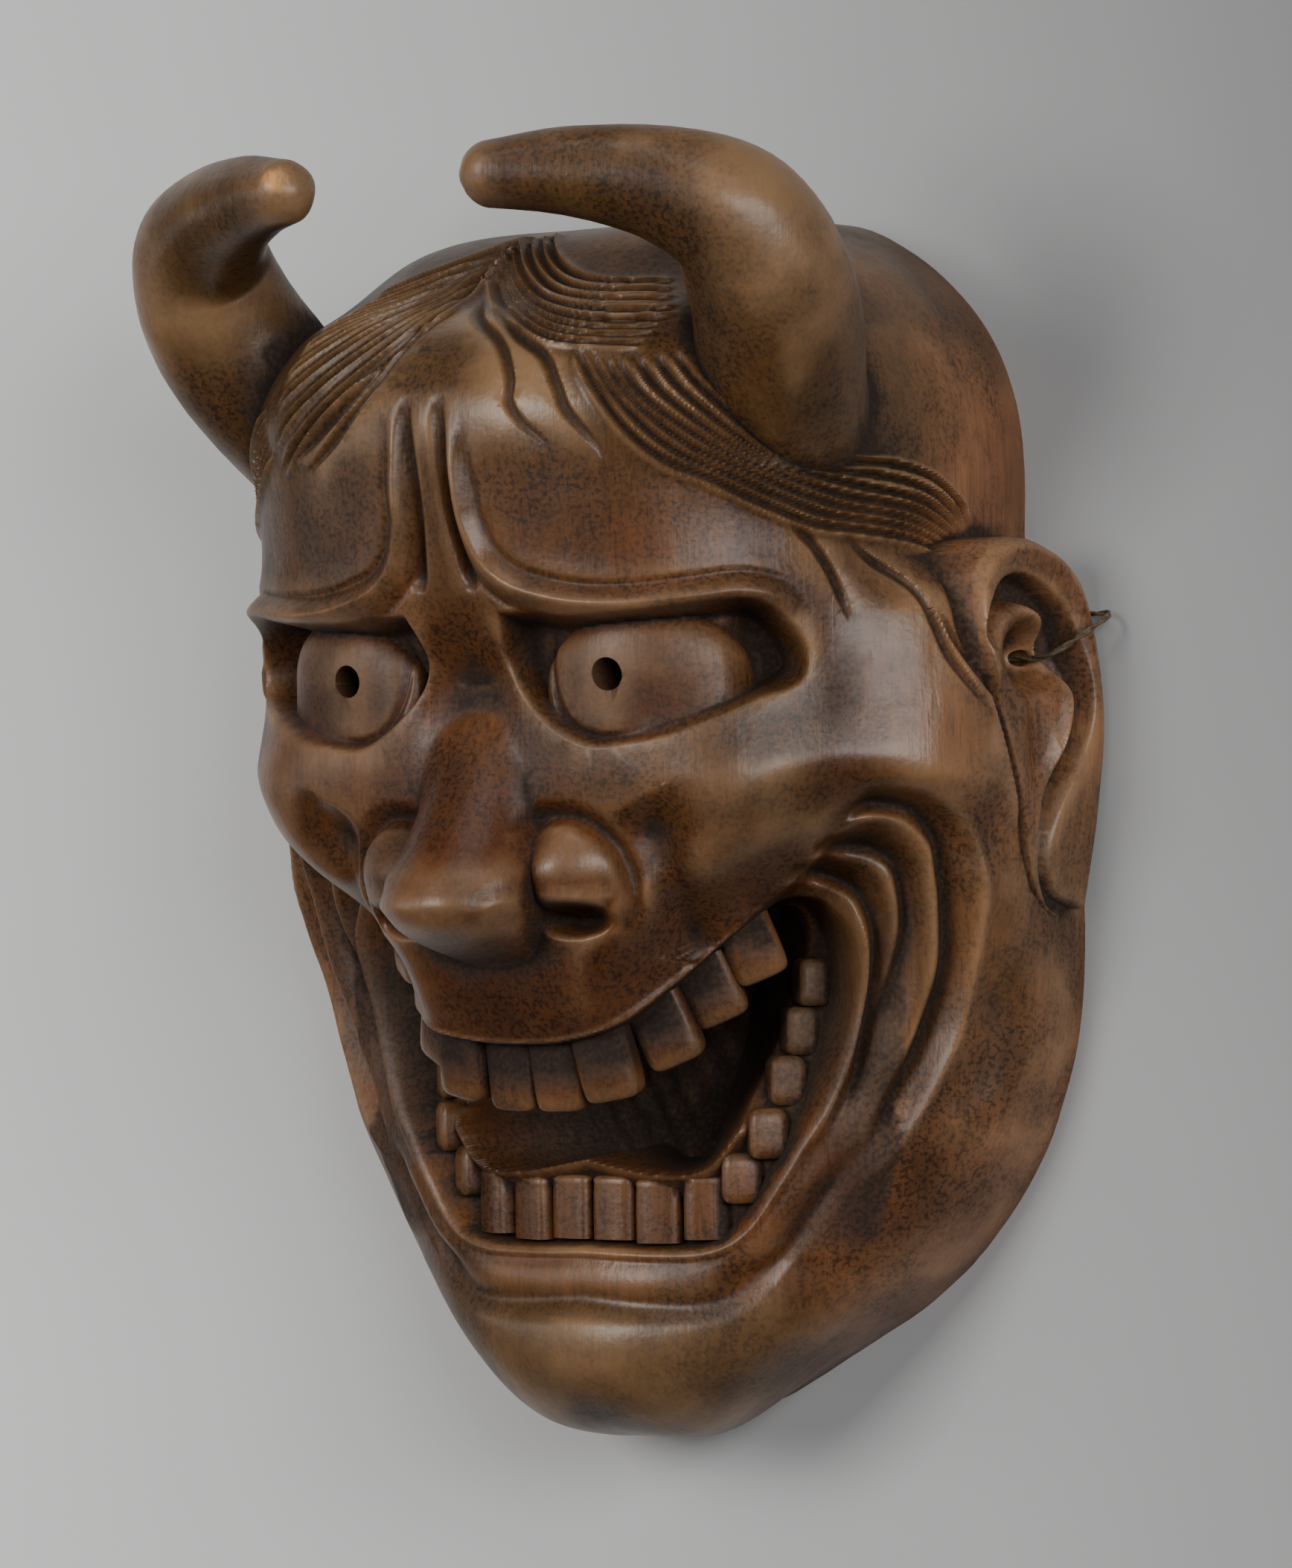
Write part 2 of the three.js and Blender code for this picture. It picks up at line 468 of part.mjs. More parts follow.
// teeth
const upperTeeth = [[4.4, 11.4, 13.2, 8], [13, 11.9, 12.8, 8.6], [21.3, 12.2, 12, 8.8], [29, 12.2, 11.4, 8.8],
  [36.6, 11.8, 10.4, 8.8]];
const lowerTeeth = [[6.2, -80.5, 10.4], [18.2, -81, 10.6], [29.6, -80, 10]];
const sideTeeth = [[37.1, -75.4, 7.6], [42.3, -65.8, 7.4], [46.6, -54.6, 7], [50, -44, 6.6], [51.8, -33.5, 6]];
const pieces = [];
for (const s of [-1, 1]) {
  for (const [deg, width, height, depth] of upperTeeth) {
    const q = knots(deg, lipLine), r = baseRadius(deg * DEG, q + 3) - TOOTH_INSET;
    const at = place(s * deg * DEG, q + 3.5, r);
    const next = place(s * (deg + 2) * DEG, knots(deg + 2, lipLine) + 3.5, baseRadius((deg + 2) * DEG, knots(deg + 2, lipLine) + 3) - TOOTH_INSET);
    const edge = new THREE.Vector3(next[0] - at[0], next[1] - at[1], next[2] - at[2]).normalize();
    const out = new THREE.Vector3(Math.sin(s * deg * DEG), 0, Math.cos(deg * DEG));
    const down = new THREE.Vector3().crossVectors(edge, out).normalize();
    if (down.y > 0) down.negate();
    down.lerp(new THREE.Vector3(0, -1, 0), 0.45).normalize();
    pieces.push(tooth(at, down.toArray(), out.toArray(), width, depth, height + 3.5));
  }
  for (const [deg, q, width] of lowerTeeth) {
    const r = baseRadius(deg * DEG, -80) - 6;
    pieces.push(tooth(place(s * deg * DEG, q - 8.5, r), [0, 1, 0], [Math.sin(s * deg * DEG), 0, Math.cos(deg * DEG)], width, 7.5, 14, 0.9));
  }
  for (const [deg, q, width] of sideTeeth) {
    const r = gumRadius(deg * DEG, q) - 2;
    const out = [Math.sin(s * deg * DEG), 0, Math.cos(deg * DEG)];
    pieces.push(tooth(place(s * deg * DEG, q, r), out, [0, 1, 0], width, width * 1.1, 5.6, 0.62));
  }
}

let mask = shell.subtract(mouthCut).subtract(wellCut);
for (const piece of [...horns, ...ears, ...pieces]) mask = mask.add(piece);
mask = mask.subtract(hollow).scale(STRETCH);
for (const cut of [...pupils, ...cordBores, ...notches]) mask = mask.subtract(cut);

// twine: in through each ear, over its edge and straight across the hollow
const flat = TWINE_LIFT + TWINE;
const offRim = (x, y, z) => [x * STRETCH[0], (y + SHIFT_Y) * STRETCH[1], z];
const cordHalf = [boreAt(58, 1.5, 1.5), ...[66, 78, 88, 94.5].map((x) => boreAt(x)), boreAt(99.5, 2.1, 1.9),
  stretched([103.4, CORD_HOLE[0] + SHIFT_Y + 5.8, 11]), stretched([104.6, NOTCH_Y + SHIFT_Y - 1.4, 6.6]),
  offRim(103.9, NOTCH_Y - 0.2, flat + 1.95), offRim(100.5, NOTCH_Y, flat + 0.25), offRim(88, NOTCH_Y, flat),
  offRim(72, NOTCH_Y, flat), offRim(40, NOTCH_Y, flat + 0.3), offRim(0, NOTCH_Y, flat + 0.4)];
const cordPath = [...cordHalf.map(([x, y, z]) => [-x, y, z]), ...cordHalf.slice(0, -1).reverse()];
const cordCurve = new THREE.CatmullRomCurve3(cordPath.map((p) => new THREE.Vector3(...p)), false, "centripetal");
const strand = new THREE.Shape(Array.from({ length: 8 }, (_, i) =>
  new THREE.Vector2(TWINE * Math.cos(Math.PI * i / 4), TWINE * Math.sin(Math.PI * i / 4))));
const cord = solidOf(new THREE.ExtrudeGeometry(strand, { steps: 76, extrudePath: cordCurve }));

// closes up the hair-thin triangles that a cut leaves: short edges shrink to a point, flat ones swap their diagonal
function withoutSlivers(points, tris, shortest, thinnest) {
  const at = (k) => new THREE.Vector3(points[3 * k], points[3 * k + 1], points[3 * k + 2]);
  const normalOf = (t) => at(t[1]).sub(at(t[0])).cross(at(t[2]).sub(at(t[0])));
  for (let pass = 0; pass < 30; pass++) {
    const around = new Map();
    tris.forEach((t, i) => t.forEach((k) => (around.get(k) ?? around.set(k, []).get(k)).push(i)));
    const touched = new Set();
    const near = (k) => new Set(around.get(k).flatMap((i) => tris[i]));
    let changes = 0;
    for (let i = 0; i < tris.length; i++) {
      const t = tris[i];
      if (!t.length || t.some((k) => touched.has(k))) continue;
      const edge = [0, 1, 2].map((c) => at(t[c]).distanceTo(at(t[(c + 1) % 3])));
      const c = edge.indexOf(Math.min(...edge));
      const [u, v] = [t[c], t[(c + 1) % 3]];
      const nu = near(u), nv = near(v);
      const shared = [...nu].filter((k) => nv.has(k) && k !== u && k !== v);
      if (edge[c] < shortest) {
        if (shared.length !== 2 || [...nu, ...nv].some((k) => touched.has(k))) continue;
        const gone = around.get(u).filter((j) => tris[j].includes(v));
        const turned = around.get(u).some((j) => {
          if (gone.includes(j)) return false;
          const before = normalOf(tris[j]), after = normalOf(tris[j].map((k) => (k === u ? v : k)));
          return after.dot(before) < 0 && before.length() > 0.02;
        });
        if (turned) continue;
        around.get(u).forEach((j) => { tris[j] = gone.includes(j) ? [] : tris[j].map((k) => (k === u ? v : k)); });
        [...nu, ...nv].forEach((k) => touched.add(k));
        changes++;
        continue;
      }
      const l = edge.indexOf(Math.max(...edge));
      if (normalOf(t).length() / edge[l] > thinnest) continue;
      const [a, b, o] = [t[l], t[(l + 1) % 3], t[(l + 2) % 3]];
      const j = around.get(a).find((m) => m !== i && tris[m].includes(b));
      if (j === undefined) continue;
      const d = tris[j].find((k) => k !== a && k !== b);
      if ([a, b, o, d].some((k) => touched.has(k)) || near(o).has(d)) continue;
      tris[i] = [a, d, o];
      tris[j] = [d, b, o];
      [a, b, o, d].forEach((k) => touched.add(k));
      changes++;
    }
    tris = tris.filter((t) => t.length);
    if (!changes) break;
  }
  return tris;
}

function meshOf(solid, name, colour, roughness) {
  const m = solid.getMesh();
  const g = new THREE.BufferGeometry();
  g.setAttribute("position", new THREE.Float32BufferAttribute(m.vertProperties, 3));
  g.setIndex(Array.from(m.triVerts));
  const merged = mergeVertices(g, 1e-3);
  const index = merged.index.array, tris = [];
  for (let i = 0; i < index.length; i += 3) tris.push([index[i], index[i + 1], index[i + 2]]);
  merged.setIndex(withoutSlivers(merged.attributes.position.array, tris, SHORTEST_EDGE, THINNEST_FACET).flat());
  const mesh = new THREE.Mesh(merged, new THREE.MeshStandardMaterial({ color: colour, roughness, metalness: 0 }));
  mesh.name = name;
  return mesh;
}

const group = new THREE.Group();
group.name = "hannya_mask";
group.add(meshOf(mask, "mask", 0x7a4f34, 0.5));
group.add(meshOf(cord, "hanging_cord", 0x6b5a40, 0.9));

export default group;
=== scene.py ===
# Hannya mask carved from one block of wood, lying on the rim of its back.
# Shapes are worked out in millimetres and written to the meshes in metres.
import math

import bpy
import numpy as np
from mathutils import Matrix, Vector


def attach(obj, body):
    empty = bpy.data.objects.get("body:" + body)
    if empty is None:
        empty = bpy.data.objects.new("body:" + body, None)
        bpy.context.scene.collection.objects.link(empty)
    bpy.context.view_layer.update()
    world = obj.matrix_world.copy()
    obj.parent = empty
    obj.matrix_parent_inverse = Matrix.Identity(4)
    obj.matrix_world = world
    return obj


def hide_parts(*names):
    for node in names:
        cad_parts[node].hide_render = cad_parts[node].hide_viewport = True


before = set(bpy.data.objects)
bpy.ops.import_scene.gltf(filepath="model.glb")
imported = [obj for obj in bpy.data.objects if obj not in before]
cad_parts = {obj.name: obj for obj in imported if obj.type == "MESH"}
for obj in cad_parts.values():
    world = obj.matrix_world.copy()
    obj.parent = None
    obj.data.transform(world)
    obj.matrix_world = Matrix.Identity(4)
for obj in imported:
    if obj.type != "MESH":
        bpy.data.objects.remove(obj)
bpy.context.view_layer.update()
print("frame loaded")

degree = math.pi / 180

# how the mask sits in the part's frame, how finely it is worked out, and which edges stay crisp
build = {
    "shiftY": -5.1,
    "columns": 720,
    "rows": 700,
    "middleDense": 0.26,
    "shellTriangles": 420000,
    "finalTriangles": 192000,
    "sharpAngle": 55.0,
}
shift = np.array([0, build["shiftY"], 0])

# camera at the photograph's angle: turned towards the mask's own left side, standing level with it
view = {
    "turn": 33.0,
    "roll": 1.0,
    "distance": 1210.0,
    "aim": (14.8, 9.9, 50.0),
    "lens": 128.15,
    "sensor": 36.0,
}


def addCamera():
    # camera looks along minus (sin turn, 0, cos turn) at the aim point, its top towards the crown
    turn = view["turn"] * degree
    roll = view["roll"] * degree
    ahead = -np.array([math.sin(turn), 0, math.cos(turn)])
    side = np.cross(ahead, [0, 1, 0])
    side /= np.linalg.norm(side)
    up = np.cross(side, ahead)
    across = math.cos(roll) * side - math.sin(roll) * up
    upward = math.sin(roll) * side + math.cos(roll) * up
    aim = np.array(view["aim"]) + shift
    eye = (aim - ahead * view["distance"]) * 0.001
    data = bpy.data.cameras.new("camera")
    data.sensor_fit = "VERTICAL"
    data.sensor_height = view["sensor"]
    data.lens = view["lens"]
    data.clip_start = 0.05
    camera = bpy.data.objects.new("camera", data)
    bpy.context.scene.collection.objects.link(camera)
    rows = [[across[k], upward[k], -ahead[k], eye[k]] for k in range(3)]
    camera.matrix_world = Matrix(rows + [[0, 0, 0, 1]])
    bpy.context.scene.camera = camera


addCamera()

# domes over crown and under chin: where each starts, and mm of profile per radian over it
foot = {"crown": 70.0, "chin": -95.0, "crownPace": 80.0, "chinPace": 45.0}


def crown(deg):
    return foot["crown"] + foot["crownPace"] * deg * degree


def chin(deg):
    return foot["chin"] - foot["chinPace"] * deg * degree


# overall form, each as rows of (place, value); the same values drive the solid model
form = {
    "rimHalf": [(chin(90), 36.8), (chin(64), 37.2), (chin(47), 38.5), (chin(32), 42.3), (chin(21), 47.9),
                (chin(13), 54.3), (chin(6), 60.8), (-95, 67.4), (-90, 72), (-80, 79.6), (-70, 85.3),
                (-60, 89.2), (-50, 92.3), (-41, 93.9), (-30, 94.8), (-10, 94.5), (10, 91), (30, 87),
                (50, 83.4), (60, 81.9), (70, 82), (crown(6), 82.4), (crown(15), 83.1), (crown(25), 82.8),
                (crown(37), 80.5), (crown(46), 78.2), (crown(58), 74.2), (crown(66), 69), (crown(74), 65.5),
                (crown(90), 63.2)],
    "upperHeight": [(chin(90), 36.8), (chin(46), 59), (chin(10), 60), (-80, 72), (-60, 76), (-47, 79),
                    (-40, 83), (-28, 88), (-10, 92), (5, 94), (20, 96), (35, 99), (50, 103), (62, 106),
                    (70, 108), (crown(11), 113), (crown(20), 107), (crown(28), 95.5), (crown(40), 88.5),
                    (crown(57), 73.5), (crown(75), 65), (crown(90), 63.2)],
    "lowerHeight": [(chin(90), 36.8), (chin(75), 40.5), (chin(62), 44.5), (chin(49), 51.5), (chin(35), 58.5),
                    (chin(20), 60), (chin(8), 56.5), (-95, 53), (-89, 54), (-80, 55), (-67, 54.5), (-56, 51),
                    (-41, 48), (-20, 48), (0, 52), (30, 60), (70, 70), (crown(90), 63.2)],
    "upperSquare": [(chin(90), 2), (-95, 1.8), (-60, 2.2), (-30, 2.5), (0, 2.5), (10, 2.8), (30, 2.75),
                    (50, 2.85), (66, 2.72), (crown(11), 2.6), (crown(30), 2.4), (crown(60), 2),
                    (crown(90), 2)],
    "lowerSquare": [(chin(90), 2), (chin(60), 2.4), (chin(30), 3), (-97, 2.7), (-90, 2.45), (-80, 2.25),
                    (-70, 2.27), (-60, 2.45), (-50, 2.62), (-41, 2.85), (-30, 3.4), (-20, 4), (-10, 4.6),
                    (0, 4.6), (30, 3), (70, 2.4), (crown(90), 2)],
    "lipLine": [(0, -47), (9, -46), (18, -42), (25, -35), (31.5, -28), (38, -21), (44, -14), (50, -7),
                (55, -4), (60, -4), (65, -6), (72, -10), (80, -20), (90, -30)],
    "flankTurn": 57.0,
    "flankSoft": 5.0,
    "flankFade": (66, -14),
    "flankReach": [(-60, 62), (-47, 61), (-39.6, 63.7), (-24.5, 70), (-17, 76.5), (-8, 86.5), (0.8, 94.6),
                   (8, 98.5), (16, 105), (30, 125), (60, 170)],
    "lipSoft": [(0, 2), (40, 3), (44, 4), (50, 8), (55, 10), (60, 11), (65, 12), (75, 16), (90, 24)],
    "noseRidge": [(-31, 80), (-28, 89), (-25, 100), (-21, 110.5), (-16, 115.5), (-10, 114), (-2, 108.5),
                  (8, 102.5), (20, 95), (28, 89.5), (32, 89)],
    "noseRound": [(-31, 6), (-28, 9), (-25, 11.5), (-21, 14), (-16, 16), (-10, 16.2), (-2, 15.2), (8, 13.5),
                  (20, 12), (28, 10), (32, 8)],
}


def knots(t, rows):
    # smooth curve through (place, value) rows: a cubic in each gap, slopes weighted by the gaps beside
    table = np.array(rows, float)
    place = table[:, 0]
    value = table[:, 1]
    slope = np.gradient(value, place)
    t = np.clip(t, place[0], place[-1])
    i = np.clip(np.searchsorted(place, t, side="right") - 1, 0, len(place) - 2)
    gap = place[i + 1] - place[i]
    s = (t - place[i]) / gap
    near = (1 + 2 * s) * (1 - s) ** 2 * value[i] + s * (1 - s) ** 2 * gap * slope[i]
    return near + s * s * (3 - 2 * s) * value[i + 1] + s * s * (s - 1) * gap * slope[i + 1]


def smooth(t):
    # 0 below 0, 1 above 1, and a cubic between them
    t = np.clip(t, 0, 1)
    return t * t * (3 - 2 * t)


def rising(value, start, span):
    # 0 at the start and 1 a span further on; a negative span rises the other way
    return smooth((value - start) / span)


def bump(distance, width):
    # bell curve: 1 in the middle, fading over the width
    return np.exp(-(distance / width) ** 2)


def peak(distance, width):
    # crisp ridge: straight slopes to an edge in the middle
    return np.maximum(1 - distance / width, 0) ** 1.3


def joined(a, b, soft):
    # larger of two radii, with the corner between them filled over a soft band
    h = np.clip(0.5 + (b - a) / (2 * soft), 0, 1)
    return a + (b - a) * h + soft * h * (1 - h)


def domeTilt(q):
    # radians over the crown's dome or under the chin's, and none between them
    return np.where(q > foot["crown"], (q - foot["crown"]) / foot["crownPace"],
                    np.where(q < foot["chin"], (q - foot["chin"]) / foot["chinPace"], 0.0))


def place(psi, q, r):
    # point at radius r, turned psi about the middle line, its foot q along that line or on a dome
    tilt = domeTilt(q)
    flat = r * np.cos(tilt)
    y = np.clip(q, foot["chin"], foot["crown"]) + r * np.sin(tilt) + build["shiftY"]
    return np.stack([flat * np.sin(psi), y, flat * np.cos(psi)], -1)


def section(psi, half, height, square):
    # radius of a superellipse at the angle psi
    wide = (np.abs(np.sin(psi)) / half) ** square
    tall = (np.abs(np.cos(psi)) / height) ** square
    return (wide + tall) ** (-1 / square)


def lowerRadius(psi, q):
    # the jaw's section at the place q
    half = knots(q, form["rimHalf"])
    return section(psi, half, knots(q, form["lowerHeight"]), knots(q, form["lowerSquare"]))


def baseRadius(psi, q):
    # skull and muzzle above the lip line, jaw set back below it
    half = knots(q, form["rimHalf"])
    full = section(psi, half, knots(q, form["upperHeight"]), knots(q, form["upperSquare"]))
    flank = knots(q, form["flankReach"]) / np.cos(np.abs(psi) - form["flankTurn"] * degree)
    turn = np.abs(psi) / degree
    up = full + (-joined(-full, -flank, form["flankSoft"]) - full) * rising(turn, *form["flankFade"])
    low = lowerRadius(psi, q)
    t = smooth(0.5 + (q - knots(turn, form["lipLine"])) / (2 * knots(turn, form["lipSoft"])))
    return low + (up - low) * t


def curved(points, steps=8):
    # smooth path through points of any dimension, each stretch a cubic of four neighbours
    p = np.array(points, float)
    p = np.concatenate([p[:1], p, p[-1:]])
    t = np.linspace(0, 1, steps, endpoint=False)[None, :, None]
    a, b, c, d = p[:-3, None], p[1:-2, None], p[2:-1, None], p[3:, None]
    bend = (2 * a - 5 * b + 4 * c - d) * t ** 2
    path = 0.5 * (2 * b + (c - a) * t + bend + (3 * b - a - 3 * c + d) * t ** 3)
    return np.concatenate([path.reshape(-1, p.shape[1]), p[-1:]])


def spread(count, dense):
    # angles from side to side, a cubic that sets them closer together in the middle
    x = np.linspace(-1, 1, count)
    return 90 * degree * x * (1 - dense + dense * x * x)


# the face's grid: columns by angle round the face, rows by place along the middle line
columnAngle = spread(build["columns"], build["middleDense"])
columnDeg = columnAngle / degree
rowPlace = np.interp(np.linspace(0, 1, build["rows"]), [0, 0.1, 0.9, 1], [chin(90), -105, 128, crown(90)])
gridPsi, gridQ = np.meshgrid(columnAngle, rowPlace)
gridDeg = gridPsi / degree
gridTurn = np.abs(gridDeg)
gridSide = np.sin(np.abs(gridPsi))
gridFront = np.cos(np.abs(gridPsi))
baseField = baseRadius(gridPsi, gridQ)
# millimetres of surface to each mm of place, along the middle column
middleRadius = baseField[:, len(columnAngle) // 2]
rowStretch = np.where(rowPlace > foot["crown"], middleRadius / foot["crownPace"],
                      np.where(rowPlace < foot["chin"], middleRadius / foot["chinPace"], 1.0))
print("face grid", gridPsi.shape)


class Reach:
    # distance in mm from every grid point to the nearest of a set of paths, and how far along it lies
    def __init__(self, paths, reach):
        self.far = np.full(gridPsi.shape, 1e3)
        self.along = np.zeros(gridPsi.shape)
        for path in paths:
            self.add(np.asarray(path), reach)

    def add(self, path, reach):
        # each stretch of the path is measured in a window of the grid that its reach fills
        tilt = domeTilt(path[:, 1])
        wide = baseRadius(path[:, 0] * degree, path[:, 1]) * np.cos(tilt) * degree
        tall = np.interp(path[:, 1], rowPlace, rowStretch)
        count = len(path) - 1
        for k in range(count):
            (ax, ay), (bx, by) = path[k], path[k + 1]
            w = max(wide[k], 0.2)
            h = tall[k]
            c0, c1 = np.searchsorted(columnDeg, [min(ax, bx) - reach / w, max(ax, bx) + reach / w])
            r0, r1 = np.searchsorted(rowPlace, [min(ay, by) - reach / h, max(ay, by) + reach / h])
            if c1 <= c0 or r1 <= r0:
                continue
            window = (slice(r0, r1), slice(c0, c1))
            px = (columnDeg[c0:c1][None, :] - ax) * w
            py = (rowPlace[r0:r1][:, None] - ay) * h
            ux, uy = (bx - ax) * w, (by - ay) * h
            s = np.clip((px * ux + py * uy) / (ux * ux + uy * uy + 1e-9), 0, 1)
            d = np.hypot(px - ux * s, py - uy * s)
            closer = d < self.far[window]
            self.far[window] = np.where(closer, d, self.far[window])
            self.along[window] = np.where(closer, (k + s) / count, self.along[window])

    def faded(self, value, first, last, stay=0.0):
        # value brought in over the first part of the paths and out over the last, a share left by stay;
        # first and last are one over the shares of the length that this takes
        return value * smooth(self.along * first) * smooth((1 - self.along) * last + stay)


def bothSides(path):
    # the path and its mirror image
    return [path, path * np.array([-1, 1])]


def insideOf(outline, reach):
    # signed distance to a closed outline, positive inside: crossings of a sideways line tell the side
    far = Reach([outline], reach).far
    odd = np.zeros(gridPsi.shape, bool)
    r0, r1 = np.searchsorted(rowPlace, [outline[:, 1].min(), outline[:, 1].max()])
    for (ax, ay), (bx, by) in zip(outline[:-1], outline[1:]):
        crossed = (ay > rowPlace[r0:r1]) != (by > rowPlace[r0:r1])
        if not crossed.any():
            continue
        edge = (bx - ax) * (rowPlace[r0:r1] - ay) / (by - ay if by != ay else 1e-9) + ax
        odd[r0:r1] ^= crossed[:, None] & (columnDeg[None, :] < edge[:, None])
    return np.where(odd, np.minimum(far, reach), -np.minimum(far, reach))


# ears: outline and inner lines as (y, z) in the mask's own frame, and how high each one stands
ear = {
    "face": {"x": 95.5, "swell": 4.6, "y": 14, "width": 34, "slope": 0.13},
    "outline": [(-20, 3), (-21, 14), (-14, 23), (0, 28), (14, 33), (28, 38), (42, 42), (53, 40), (60, 32),
                (61, 22), (57, 10), (48, 3), (30, 0.8), (5, 0.8), (-20, 3)],
    "rim": [(33, 39), (42, 40), (51, 37.5), (57, 31), (58.5, 22), (55, 12), (46, 5), (30, 3), (14, 3),
            (0, 8)],
    "rimHeight": 2.2,
    "rimWidth": 3.8,
    "furrow": [(40, 38), (44.5, 36), (48, 32.5), (50, 25.5), (48, 17.8), (43.7, 12.8), (38, 10.4),
               (30.8, 8.6), (23.5, 8.6), (17, 10.9), (10, 15.2), (3, 18.8), (-4, 20.4), (-11, 19.6),
               (-16.5, 16), (-19, 9), (-20, 3)],
    "furrowDepth": 5.6,
    "furrowHalf": 3.1,
    "leafEdge": [(41.2, 36), (44.3, 31.6), (45, 25), (43.2, 18.9), (39.3, 15), (33.6, 13), (27, 12.5),
                 (20.9, 14), (14.3, 17.2), (7.7, 21.7), (2, 25)],
    "leafHeight": 1.5,
    "leafWidth": 2.6,
    "pocket": {"at": (35.5, 20.5), "size": (6.5, 9.0), "depth": 11.5},
    "dish": {"at": (19, 22), "size": (15, 5), "depth": 2.6},
    "edgeRound": 2.2,
    "rimForward": 7.0,
    "middle": (20, 18),
    "root": 74.0,
    "around": 200,
    "rings": 72,
}


def earFace(y, z):
    # how far out the flat of the ear lies: a level swelling in the middle and sloping in forwards
    face = ear["face"]
    return face["x"] + face["swell"] * bump(y - face["y"], face["width"]) - face["slope"] * (z - 6)


def ovalFar(a, b, oval):
    # distance from the middle of an oval, 1 on its edge
    return np.hypot((a - oval["at"][0]) / oval["size"][0], (b - oval["at"][1]) / oval["size"][1])


